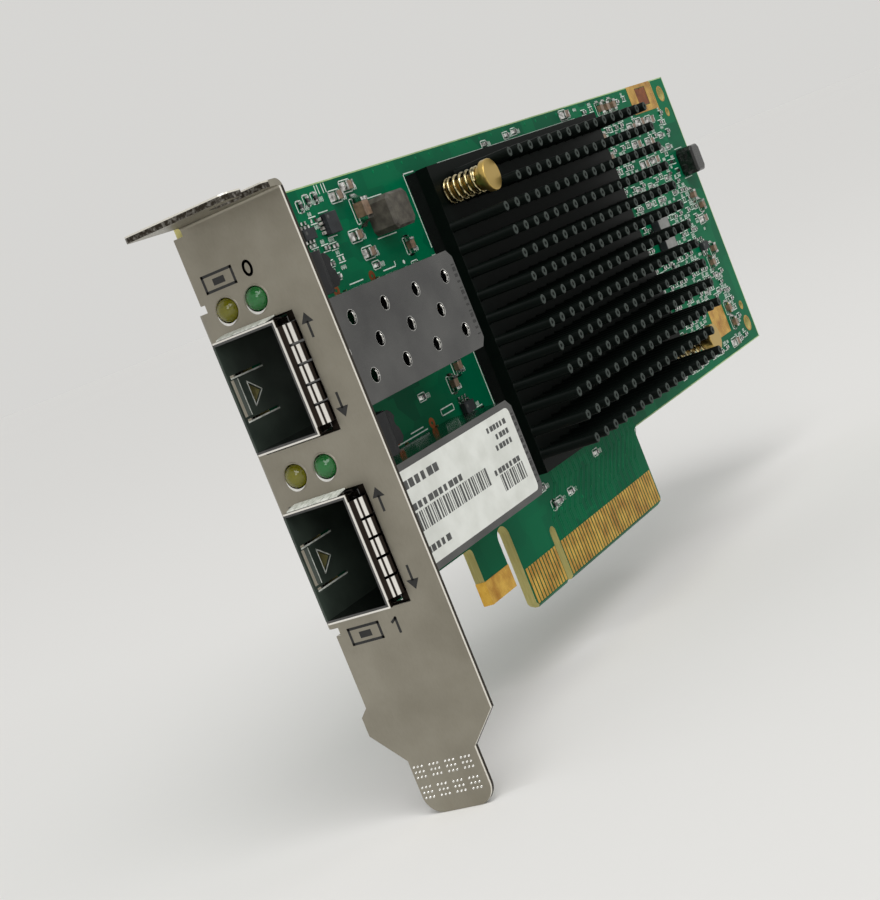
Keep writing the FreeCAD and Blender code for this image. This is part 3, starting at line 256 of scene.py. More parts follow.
@dataclass(frozen=True)
class FoldedSheet(Metal):
    """A sheet of metal, with the edges that the shears left on its flat face and on its flange, painted
    bright as highlight on their outer part and dark as shade on their inner part.

    Attributes:
        burnish_and_highlight: Colour of the edge's outer part, the punch's burnish, painted bright as a
            highlight.
        torn_and_shade: Colour of its inner part, where the sheet tore, painted dark as shade.
        front: X of the flat face's outer side in millimetres.
        burnish: Depth of the burnish on the edge's outer part.
        thickness: Thickness of the sheet, with a little to spare.
        board_side: Y beyond which the sheet is the ear behind the board.
        high: Z above which the sheet is folded away.
        fold: X beyond which the flange is flat.
        middle: Z above which the flange's edge takes the painted highlight.
        glint_spot: Width of the painted glints on that edge.
        sideways: Greatest share of an axis in the direction that an edge across it faces.
    """

    burnish_and_highlight: str = "#F1EDE3"
    torn_and_shade: str = "#37322B"
    front: float = BRACKET_FRONT
    burnish: float = 0.34
    thickness: float = 0.9
    board_side: float = 0.2
    high: float = 68.2
    fold: float = -60.8
    middle: float = 69.02
    glint_spot: float = 0.5
    sideways: float = 0.6

    def shade(self, tree: Tree, place: Node) -> dict[str, Source]:
        """Set up the plain sheet, then its sheared edges by the way they face and their place, with painted
        highlight and painted shade.

        Args:
            tree: Node tree of the material.
            place: Node that gives the place on the card in millimetres.

        Returns:
            What feeds each input of the shader.
        """
        inputs = super().shade(tree, place)
        normal = add_node(tree, "NewGeometry").outputs["True Normal"]
        facing = add_node(tree, "SeparateXYZ", {"Vector": normal}).outputs
        at = add_node(tree, "SeparateXYZ", {"Vector": place}).outputs
        is_sheared = {}
        for axis in ("X", "Z"):
            share = add_node(tree, "Math", {0: facing[axis]}, operation="ABSOLUTE")
            is_sheared[axis] = add_node(tree, "Math", {0: share, 1: self.sideways}, operation="LESS_THAN")
        is_edge = is_sheared["X"]
        limits = {"X": self.front + self.thickness, "Y": self.board_side, "Z": self.high}
        for axis, limit in limits.items():
            is_below = add_node(tree, "Math", {0: at[axis], 1: limit}, operation="LESS_THAN")
            is_edge = add_node(tree, "Math", {0: is_edge, 1: is_below}, operation="MULTIPLY")
        # Painted highlight on the outer part of each sheared edge, painted shade on its inner part.
        is_outer = add_node(tree, "Math", {0: at["X"], 1: self.front + self.burnish}, operation="LESS_THAN")
        shades = {Mix.SHARE: is_outer, Mix.FIRST: self.torn_and_shade, Mix.SECOND: self.burnish_and_highlight}
        edge = add_node(tree, "Mix", shades, data_type="RGBA")
        is_flange = add_node(tree, "Math", {0: at["X"], 1: self.fold}, operation="LESS_THAN")
        is_rim = add_node(tree, "Math", {0: is_sheared["Z"], 1: is_flange}, operation="MULTIPLY")
        # Bright spots along the flange's edge, painted glints.
        spots = add_node(tree, "TexNoise", {"Vector": place, "Scale": 1 / self.glint_spot, "Detail": 2.0})
        faint = {"Value": spots, "From Min": 0.45, "From Max": 0.8, "To Max": 0.35}
        lighter_patches = add_node(tree, "MapRange", faint)
        # The upper part of the flange's edge takes the painted highlight.
        is_upper = add_node(tree, "Math", {0: at["Z"], 1: self.middle}, operation="GREATER_THAN")
        bright = add_node(tree, "Math", {0: is_upper, 1: lighter_patches}, operation="MAXIMUM")
        rim = add_node(tree, "Mix", {**shades, Mix.SHARE: bright}, data_type="RGBA")
        for share, colour in ((is_edge, edge), (is_rim, rim)):
            layers = {Mix.SHARE: share, Mix.FIRST: inputs["Base Color"], Mix.SECOND: colour}
            inputs["Base Color"] = add_node(tree, "Mix", layers, data_type="RGBA")
        return inputs


@dataclass(frozen=True)
class SolderMask(Finish):
    """Lacquer over copper and glass cloth, with bare laminate on the routed edges.

    Attributes:
        over_copper: Colour where copper lies under the lacquer.
        over_glass: Colour where only laminate lies under it.
        edge: Colour of the routed edges.
        fibre: Colour of the darker fibres in them.
        pour: Width of the copper areas in millimetres.
        cloth: Spacing of the glass threads in millimetres.
        fibre_width: Width of the fibres in millimetres, coarser than the real 0.01 so that they show.
    """

    over_copper: str = "#02754A"
    over_glass: str = "#01573A"
    edge: str = "#CBC48C"
    fibre: str = "#A09650"
    pour: float = 7.0
    cloth: float = 0.9
    fibre_width: float = 2 / 3

    def shade(self, tree: Tree, place: Node) -> dict[str, Source]:
        """Set up copper areas, the weave that shows through, and the edges by the way they face.

        Args:
            tree: Node tree of the material.
            place: Node that gives the place on the card in millimetres.

        Returns:
            What feeds each input of the shader.
        """
        sizes = {"Vector": place, "Scale": 1 / self.pour, "Randomness": 0.9}
        areas = add_node(tree, "TexVoronoi", sizes, distance="CHEBYCHEV").outputs["Color"]
        copper = add_node(tree, "SeparateColor", {"Color": areas})
        haze = add_node(tree, "TexNoise", {"Vector": place, "Scale": 1 / (4 * self.pour), "Detail": 3.0})
        share = add_node(tree, "Math", {0: copper, 1: haze}, operation="MULTIPLY", use_clamp=True)
        shades = {Mix.SHARE: share, Mix.FIRST: self.over_glass, Mix.SECOND: self.over_copper}
        lacquer = add_node(tree, "Mix", shades, data_type="RGBA")
        drawn = add_node(tree, "Mapping", {"Vector": place, "Scale": (0.4, 4.0, 0.4)})
        fibres = add_node(tree, "TexNoise", {"Vector": drawn, "Scale": 1 / self.fibre_width, "Detail": 3.0})
        shades = {Mix.SHARE: fibres, Mix.FIRST: self.edge, Mix.SECOND: self.fibre}
        laminate = add_node(tree, "Mix", shades, data_type="RGBA")
        normal = add_node(tree, "NewGeometry").outputs["True Normal"]
        facing = add_node(tree, "SeparateXYZ", {"Vector": normal}).outputs["Y"]
        across = add_node(tree, "Math", {0: facing}, operation="ABSOLUTE")
        is_face = add_node(tree, "Math", {0: across, 1: 0.5}, operation="GREATER_THAN")
        threads = {"Vector": place, "Scale": BANDS / self.cloth, "Distortion": 0.4}
        warp, weft = (
            add_node(tree, "TexWave", threads, bands_direction=axis).outputs["Fac"] for axis in ("X", "Z")
        )
        weave = add_node(tree, "Math", {0: warp, 1: weft}, operation="MULTIPLY")
        layers = {Mix.SHARE: is_face, Mix.FIRST: laminate, Mix.SECOND: lacquer}
        return {
            "Base Color": add_node(tree, "Mix", layers, data_type="RGBA"),
            "Roughness": add_node(tree, "MapRange", {"Value": is_face, "To Min": 0.75, "To Max": 0.3}),
            "Normal": add_node(tree, "Bump", {"Height": weave, "Strength": 0.25, "Distance": 0.004 * MM}),
            "IOR": 1.52,
            "Specular IOR Level": 0.03,
        }


@dataclass(frozen=True)
class AnodisedFins(Finish):
    """Black dyed aluminium whose pin tops were cut off by a saw, pale on their rims as bare metal and
    painted highlight, and dark in their dished centres as painted shade.

    Attributes:
        skin: Colour of the dyed skin.
        lighter_patches: Colour of the dyed skin where it catches dust and handling.
        sawn_and_highlight: Colour of the pin tops' rims, bare metal from the saw and painted highlight.
        scored: Colour of the saw marks on them.
        top: Height of the pin tops along Y in millimetres, beyond which the rims turn pale; the dished
            centres stop short of it and keep the dark skin as painted shade.
        saw_pitch: Spacing of the saw marks in millimetres.
        dust: Width of the dusty patches in millimetres.
        grain: Width of the skin's grain in millimetres.
    """

    skin: str = "#050907"
    lighter_patches: str = "#0B110E"
    sawn_and_highlight: str = "#444B47"
    scored: str = "#2E3431"
    top: float = -14.34
    saw_pitch: float = 0.35
    dust: float = 2.5
    grain: float = 1 / 6

    def shade(self, tree: Tree, place: Node) -> dict[str, Source]:
        """Set up the dyed skin, with paler, scored metal on the rims of the pin tops, partly painted
        highlight, and the skin left in their dished centres as painted shade.

        Args:
            tree: Node tree of the material.
            place: Node that gives the place on the card in millimetres.

        Returns:
            What feeds each input of the shader.
        """
        dust = add_node(tree, "TexNoise", {"Vector": place, "Scale": 1 / self.dust, "Detail": 5.0})
        shades = {Mix.SHARE: dust, Mix.FIRST: self.skin, Mix.SECOND: self.lighter_patches}
        skin = add_node(tree, "Mix", shades, data_type="RGBA")
        saw = {"Vector": place, "Scale": BANDS / self.saw_pitch, "Distortion": 1.5}
        marks = add_node(tree, "TexWave", saw, bands_direction="X").outputs["Fac"]
        shades = {Mix.SHARE: marks, Mix.FIRST: self.sawn_and_highlight, Mix.SECOND: self.scored}
        sawn_and_highlight = add_node(tree, "Mix", shades, data_type="RGBA")
        level = add_node(tree, "SeparateXYZ", {"Vector": place}).outputs["Y"]
        # The rims reach the pin tops' height and the dished centres do not, so the centres keep the dark
        # skin as painted shade.
        is_top = add_node(tree, "Math", {0: level, 1: self.top}, operation="LESS_THAN")
        grain = add_node(tree, "TexNoise", {"Vector": place, "Scale": 1 / self.grain, "Detail": 2.0})
        layers = {Mix.SHARE: is_top, Mix.FIRST: skin, Mix.SECOND: sawn_and_highlight}
        return {
            "Base Color": add_node(tree, "Mix", layers, data_type="RGBA"),
            "Roughness": add_node(tree, "MapRange", {"Value": grain, "To Min": 0.32, "To Max": 0.52}),
            "Normal": add_node(tree, "Bump", {"Height": grain, "Strength": 0.4, "Distance": 0.004 * MM}),
            "Specular IOR Level": 0.05,
        }


@dataclass(frozen=True)
class TintedLens(Finish):
    """Cast epoxy with a dye, paler where light gathers at the tip.

    Attributes:
        deep: Colour at the foot of the lens.
        tip: Colour at the dome.
        tip_place: X of the dome's tip in millimetres.
        fade: Length of the change of colour in millimetres.
        swirl: Width of the swirls in the dye in millimetres.
        scatter: How far red, green and blue light spread inside, in millimetres.
    """

    deep: str = "#4A4A06"
    tip: str = "#8A8A12"
    tip_place: float = LENS_TIP
    fade: float = 1.6
    swirl: float = 1.25
    scatter: tuple[float, float, float] = (0.8, 0.8, 0.4)

    def shade(self, tree: Tree, place: Node) -> dict[str, Source]:
        """Set up the change of colour along the lens and its clear skin.

        Args:
            tree: Node tree of the material.
            place: Node that gives the place on the card in millimetres.

        Returns:
            What feeds each input of the shader.
        """
        along = add_node(tree, "SeparateXYZ", {"Vector": place}).outputs["X"]
        ends = {"Value": along, "From Min": self.tip_place, "From Max": self.tip_place + self.fade}
        depth = add_node(tree, "MapRange", ends)
        swirl = add_node(tree, "TexNoise", {"Vector": place, "Scale": 1 / self.swirl, "Detail": 2.0})
        share = add_node(tree, "Math", {0: depth, 1: swirl}, operation="MULTIPLY", use_clamp=True)
        shades = {Mix.SHARE: share, Mix.FIRST: self.tip, Mix.SECOND: self.deep}
        return {
            "Base Color": add_node(tree, "Mix", shades, data_type="RGBA"),
            "Roughness": 0.07,
            "IOR": 1.55,
            "Subsurface Weight": 0.25,
            "Subsurface Radius": [part * MM for part in self.scatter],
        }


@dataclass(frozen=True)
class Turned(Finish):
    """Metal cut on a lathe, whose tool left fine lines round it.

    Attributes:
        light: Colour of the cut metal.
        dark: Colour where it has dulled.
        patch: Width of the dull patches in millimetres.
        pitch: Spacing of the lines along Y in millimetres, coarser than the real 0.05 so that they show.
    """

    light: str = "#B7953F"
    dark: str = "#6B561F"
    patch: float = 1 / 0.7
    pitch: float = 0.18

    def shade(self, tree: Tree, place: Node) -> dict[str, Source]:
        """Set up dull patches and lines round the axis.

        Args:
            tree: Node tree of the material.
            place: Node that gives the place on the card in millimetres.

        Returns:
            What feeds each input of the shader.
        """
        dull = add_node(tree, "TexNoise", {"Vector": place, "Scale": 1 / self.patch, "Detail": 4.0})
        shades = {Mix.SHARE: dull, Mix.FIRST: self.light, Mix.SECOND: self.dark}
        cuts = {"Vector": place, "Scale": BANDS / self.pitch}
        lines = add_node(tree, "TexWave", cuts, bands_direction="Y").outputs["Fac"]
        return {
            "Base Color": add_node(tree, "Mix", shades, data_type="RGBA"),
            "Roughness": add_node(tree, "MapRange", {"Value": dull, "To Min": 0.15, "To Max": 0.38}),
            "Normal": add_node(tree, "Bump", {"Height": lines, "Strength": 0.3, "Distance": 0.01 * MM}),
            "Metallic": 1.0,
        }


@dataclass(frozen=True)
class HighlightLinedStrip(Finish):
    """Tinned spring strip with bright lines across its fingers as painted highlights, dark between them as
    tarnish and painted shade.

    Attributes:
        tarnish_and_shade: Colour of the dark strip, tarnish and painted shade.
        bright: Colour of the painted highlight lines.
        lines: X where each painted highlight line starts and ends in millimetres, in order.
        soft: Half the width of a line's soft ends in millimetres.
        grain: Width of the strip's grain in millimetres.
    """

    tarnish_and_shade: str = "#2E2823"
    bright: str = "#F4F1EA"
    lines: tuple[Point, ...] = ((-61.9, -61.42), (-60.78, -60.48), (-60.22, -59.78))
    soft: float = 0.04
    grain: float = 0.25

    def shade(self, tree: Tree, place: Node) -> dict[str, Source]:
        """Set up the painted highlight lines by their place along the card, with soft ends.

        Args:
            tree: Node tree of the material.
            place: Node that gives the place on the card in millimetres.

        Returns:
            What feeds each input of the shader.
        """
        first, last = self.lines[0][0], self.lines[-1][1] + 1.0
        along = add_node(tree, "SeparateXYZ", {"Vector": place}).outputs["X"]
        share = add_node(tree, "MapRange", {"Value": along, "From Min": first, "From Max": last})
        highlight_lines = add_node(tree, "ValToRGB", {"Fac": share})
        stops = highlight_lines.color_ramp.elements
        stops.remove(stops[1])
        stops[0].color = linear("#000000")
        for line in self.lines:
            for edge, shades in zip(line, (("#000000", "#FFFFFF"), ("#FFFFFF", "#000000"))):
                for shift, shade in zip((-self.soft, self.soft), shades):
                    stop = stops.new(max(0.001, (edge + shift - first) / (last - first)))
                    stop.color = linear(shade)
        # Near-white lines are painted highlights; the dark between them is tarnish and painted shade.
        shades = {Mix.SHARE: highlight_lines, Mix.FIRST: self.tarnish_and_shade, Mix.SECOND: self.bright}
        grain = add_node(tree, "TexNoise", {"Vector": place, "Scale": 1 / self.grain, "Detail": 3.0})
        return {
            "Base Color": add_node(tree, "Mix", shades, data_type="RGBA"),
            "Roughness": add_node(tree, "MapRange", {"Value": highlight_lines, "To Min": 0.42, "To Max": 0.2}),
            "Normal": add_node(tree, "Bump", {"Height": grain, "Strength": 0.4, "Distance": 0.003 * MM}),
            "Metallic": 1.0,
        }


# Green lacquer over glass laminate: a deep green, paler over copper, with straw-coloured edges.
GREEN_MASK = SolderMask("solder_mask_on_glass_laminate")
# Lacquered copper tracks: the same green, a shade paler where the metal lifts it.
TRACK_MASK = Grained(
    "solder_mask_on_copper_track", "#057A4D", "#036A42", (0.25, 0.35), cloud=3.0, grain=0.4,
    ior=1.52, sheen=0.03,
)
# Hard gold plate: deep yellow with fine wipe marks up the contacts.
HARD_GOLD = Metal(
    "hard_gold_plate", "#DDB250", "#AD7A2C", (0.22, 0.38), cloud=2.5, grain=0.12, stretch=(1.0, 1.0, 0.08)
)
# Bare copper: a warm brown where air has dulled it.
DULL_COPPER = Metal("dulled_bare_copper", "#9C5A2E", "#7A3F1E", (0.35, 0.5), cloud=1.5, grain=0.15)
# Satin nickel on folded steel: warm grey with a faint bloom and soft highlights, and painted highlight and
# painted shade on its sheared edges.
SATIN_NICKEL = FoldedSheet(
    "satin_nickel_plated_steel", "#9E998C", "#8D887B", (0.3, 0.46), cloud=9.0, grain=0.25, depth=0.003,
    stretch=(1.0, 1.0, 0.35),
)
# Rolled nickel silver: cool mid grey with faint roll lines along the cage.
ROLLED_NICKEL_SILVER = Metal(
    "rolled_nickel_silver", "#646463", "#535353", (0.12, 0.24), cloud=8.0, grain=0.12,
    stretch=(0.06, 1.0, 1.0),
)
# Black passivated zinc plate: a dull greenish black that scatters what light gets into the cages.
BLACK_ZINC = Grained(
    "black_passivated_zinc_plate", "#3C463E", "#2D352F", (0.3, 0.45), cloud=4.0, grain=0.15
)
# Tin plate as a matt near-white, a painted highlight: pale lines on finger tips and sheared edges, without
# clear reflections.
PALE_TIN_HIGHLIGHT = Grained(
    "tin_plate_painted_highlight", "#EEF0E8", "#B9BDB2", (0.35, 0.5), cloud=0.6, grain=0.2, depth=0.02
)
# Matt black that fills the gap under the heat sink, cut as a thin frame: painted shade.
PAINTED_GAP_SHADE = Grained(
    "black_painted_gap_shade", "#0B0F0D", "#060807", (0.8, 0.95), cloud=2.0, grain=0.25, depth=0.02,
    ior=1.4, sheen=0.2,
)
# Tinned spring strip: near-white painted highlight lines across the fingers, with tarnish and painted shade
# between and beyond them.
SPRING_STRIP = HighlightLinedStrip("tin_on_spring_strip_painted_highlights")
# Sheared edge of the cage sheet: bright where the punch has just cut it; the crescents below the light
# holes use it as a painted highlight.
SHEARED_EDGE = Metal("sheared_nickel_silver", "#F2F1EE", "#D8D7D3", (0.14, 0.26), cloud=0.6, grain=0.1)
# Oil-hardened spring wire: dark brown from its heat treatment, with bright patches in its colour as painted
# glints on the turns.
SPRING_WIRE = Metal("tempered_spring_wire", "#E9D9A6", "#241C0E", (0.1, 0.22), cloud=0.7, grain=0.15)
# Reflowed tin solder: bright and dark patches in its colour, painted glints and painted dark reflections.
REFLOWED_TIN = Metal(
    "reflowed_tin_solder", "#F2F2EF", "#5F5F59", (0.1, 0.26), cloud=0.5, grain=0.08, depth=0.004
)
# Nickel-plated copper lid: plain grey metal, out of sight under the heat sink.
NICKEL_LID = Metal("nickel_plated_copper_lid", "#B5B3AE", "#9C9A95", (0.25, 0.4), cloud=5.0)
# Glass-filled nylon, spark-eroded mould: a fine matt black.
BLACK_NYLON = Grained(
    "moulded_glass_filled_nylon", "#17181A", "#0F1011", (0.45, 0.62), cloud=2.5, grain=0.12, depth=0.008,
    ior=1.53, sheen=0.2,
)
# Filled epoxy, moulded: dark grey and faintly sandy.
MOULDED_EPOXY = Grained(
    "moulded_filled_epoxy", "#2A2D30", "#1E2123", (0.5, 0.68), cloud=1.8, grain=0.1, depth=0.006,
    ior=1.55, sheen=0.25,
)
# Ground epoxy: a grey, matt chip top that was lapped to thickness.
LAPPED_EPOXY = Grained(
    "lapped_filled_epoxy", "#868784", "#737471", (0.45, 0.6), cloud=1.2, grain=0.15, depth=0.003, ior=1.55
)
# Pressed iron powder in resin: brownish grey with a visible grit.
PRESSED_POWDER = Grained(
    "pressed_iron_powder", "#57534A", "#34312B", (0.5, 0.7), cloud=1.4, grain=0.2, depth=0.03,
    ior=1.6, sheen=0.3,
)
# Ferrite cast in glossy resin: near-black, with clear highlights along its edges.
CAST_FERRITE = Grained(
    "resin_cast_ferrite", "#191A18", "#0D0E0D", (0.08, 0.2), cloud=1.6, grain=0.2, depth=0.006, ior=1.55
)
# Fired dielectric ceramic: tan, faintly mottled.
TAN_CERAMIC = Grained(
    "fired_dielectric_ceramic", "#886F58", "#5F4B39", (0.35, 0.5), cloud=0.8, grain=0.12, depth=0.004,
    ior=1.7,
)
# Glass glaze over a film resistor: glossy near-black.
BLACK_GLAZE = Grained(
    "glass_glaze_on_alumina", "#1B1C1E", "#101112", (0.18, 0.3), cloud=0.6, grain=0.1, ior=1.52, coat=0.3
)
# Silicone gap filler: soft grey.
GAP_FILLER = Grained(
    "silicone_gap_filler", "#8C8E92", "#7A7C80", (0.7, 0.85), cloud=2.0, grain=0.2, depth=0.01, ior=1.42
)
# Coated label paper: matt white with a trace of fibre.
LABEL_PAPER = Grained(
    "coated_label_paper", "#DDDFD9", "#CFD1CA", (0.5, 0.65), cloud=3.0, grain=0.15, depth=0.004, ior=1.48
)
# Thermal print: soft dark grey on the label.
LABEL_PRINT = Grained(
    "thermal_print_on_label", "#3A3B3A", "#515251", (0.55, 0.7), cloud=0.8, grain=0.2, ior=1.48
)
# Routed glass laminate, where the lacquer stops short of the board's edge: a thin pale green line, also a
# painted highlight along the edge.
BARE_LAMINATE_AND_HIGHLIGHT = Grained(
    "routed_laminate_and_painted_highlight", "#AFC692", "#8FAE74", (0.5, 0.7), cloud=2.0, grain=0.12, depth=0.006, ior=1.54
)
# Screen-printed white ink: chalky lines on the lacquer.
WHITE_INK = Grained(
    "screen_printed_white_ink", "#E3EBE4", "#C4D2C8", (0.5, 0.68), cloud=0.7, grain=0.12, depth=0.004
)
# Pad-printed black ink on metal: a soft black with little shine.
BLACK_INK = Grained(
    "pad_printed_black_ink", "#141414", "#222221", (0.4, 0.55), cloud=0.8, grain=0.12, depth=0.003
)
# Black dyed aluminium with pin tops cut by a saw: near-black fins under a field of grey spots, their pale
# rims partly painted highlight and their dark centres painted shade.
BLACK_ANODISED = AnodisedFins("black_anodised_aluminium")
# Free-cutting brass from a lathe: bright yellow bands on a dull gold.
TURNED_BRASS = Turned("turned_brass")
# Dyed cast epoxy of the port lights: deep at the foot, paler at the dome, with a wet shine.
YELLOW_LENS = TintedLens("yellow_dyed_epoxy", deep="#454302", tip="#6F6C06")
GREEN_LENS = TintedLens("green_dyed_epoxy", deep="#0B4019", tip="#1E6C30")
# Matt paint on a studio floor: pale and even.
FLOOR_PAINT = Grained(
    "matt_floor_paint", "#E6E5E2", "#E5E4E1", (0.85, 0.95), cloud=4000.0, grain=3.0, depth=0.01, ior=1.45
)


def dress(finish: Finish, *nodes: str) -> None:
    """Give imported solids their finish.

    Args:
        finish: Finish that they share.
        nodes: Names of the solids' nodes.
    """
    for name in nodes:
        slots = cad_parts[name].data.materials
        slots.clear()
        slots.append(finish.material())
        LOG.info("dressed %s in %s", name, finish.name)


def soften(width: float, *nodes: str) -> None:
    """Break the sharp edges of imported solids, as deburring or moulding does.

    Args:
        width: Width of the broken edge in millimetres.
        nodes: Names of the solids' nodes.
    """
    for name in nodes:
        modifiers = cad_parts[name].modifiers
        joined = modifiers.new("joined", "WELD")
        joined.merge_threshold = WELD_DISTANCE
        flats = modifiers.new("flats", "DECIMATE")
        flats.decimate_type = "DISSOLVE"
        flats.angle_limit = math.radians(1)
        edge = modifiers.new("broken_edge", "BEVEL")
        edge.width = width * MM
        edge.segments = 2
        edge.limit_method = "ANGLE"
        edge.angle_limit = SHARP_ANGLE
        edge.harden_normals = True


def add_piece(name: str, data: bpy.types.ID, finish: Finish) -> bpy.types.Object:
    """Put a new piece on the card.

    Args:
        name: Name of the piece.
        data: Its mesh or curve.
        finish: Its finish.

    Returns:
        The piece.
    """
    piece = bpy.data.objects.new(name, data)
    data.materials.append(finish.material())
    bpy.context.scene.collection.objects.link(piece)
    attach(piece, "root")
    LOG.info("added %s in %s", name, finish.name)
    return piece


def box_of(node: str) -> Box:
    """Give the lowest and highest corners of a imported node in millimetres."""
    low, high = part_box(node)
    return low / MM, high / MM


def islands(node: str) -> list[Box]:
    """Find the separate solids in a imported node.

    Args:
        node: Name of the node.

    Returns:
        Lowest and highest corners of each solid in millimetres, in order of place.
    """
    mesh = bmesh.new()
    mesh.from_mesh(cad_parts[node].data)
    bmesh.ops.remove_doubles(mesh, verts=mesh.verts, dist=WELD_DISTANCE)
    waiting = set(mesh.verts)
    boxes = []
    while waiting:
        reached = [waiting.pop()]
        found = []
        while reached:
            vertex = reached.pop()
            found.append(vertex.co / MM)
            others = {link.other_vert(vertex) for link in vertex.link_edges} & waiting
            waiting -= others
            reached.extend(others)
        low = Vector([min(place[axis] for place in found) for axis in range(3)])
        high = Vector([max(place[axis] for place in found) for axis in range(3)])
        boxes.append((low, high))
    mesh.free()
    return sorted(boxes, key=lambda box: (round(box[0].x, 3), round(box[0].z, 3), round(box[0].y, 3)))


@dataclass(frozen=True)
class Face:
    """A flat place on the card that thin shapes are laid on.

    Attributes:
        origin: A point of the face in millimetres.
        across: Direction that the first coordinate follows.
        up: Direction that the second coordinate follows.
        out: Direction away from the card.
    """

    origin: Vector
    across: Vector
    up: Vector
    out: Vector

    def point(self, across: float, up: float, height: float) -> Vector:
        """Give a point over the face in metres."""
        return (self.origin + self.across * across + self.up * up + self.out * height) * MM


X_AXIS = Vector((1, 0, 0))
Y_AXIS = Vector((0, 1, 0))
Z_AXIS = Vector((0, 0, 1))


def component_side(y: float) -> Face:
    """Give the face that looks the way of the component side, at a place along Y."""
    return Face(Y_AXIS * y, X_AXIS, Z_AXIS, -Y_AXIS)


def bracket_side(x: float) -> Face:
    """Give the face that looks the way of the bracket, at a place along X."""
    return Face(X_AXIS * x, -Y_AXIS, Z_AXIS, -X_AXIS)


BOARD_LOW, BOARD_HIGH = box_of("circuit_board")
COMPONENT_FACE = component_side(BOARD_LOW.y)
SOLDER_FACE = Face(Y_AXIS * BOARD_HIGH.y, X_AXIS, Z_AXIS, Y_AXIS)
BRACKET_FACE = bracket_side(BRACKET_FRONT)
# Middles of the ports and of the pairs of lights along Z, and of the lights across the bracket.
PORTS = (46.5, 23.95)
LIGHT_LEVELS = (57.0, 35.1)
YELLOW_PLACE, GREEN_PLACE = 3.15, 7.8


def rectangle(low: Point, high: Point) -> tuple[Point, ...]:
    """Give the corners of an upright rectangle."""
    return (low, (high[0], low[1]), high, (low[0], high[1]))


def circle(centre: Point, radius: float, steps: int) -> list[Point]:
    """Give points round a circle in order."""
    turns = [2 * math.pi * step / steps for step in range(steps)]
    return [(centre[0] + radius * math.cos(turn), centre[1] + radius * math.sin(turn)) for turn in turns]


def ring_profile(inner: float, outer: float, height: float) -> tuple[Point, ...]:
    """Give the profile of a flat ring, from its outside to its hole."""
    return ((outer, 0), (outer, height), (inner, height), (inner, 0))


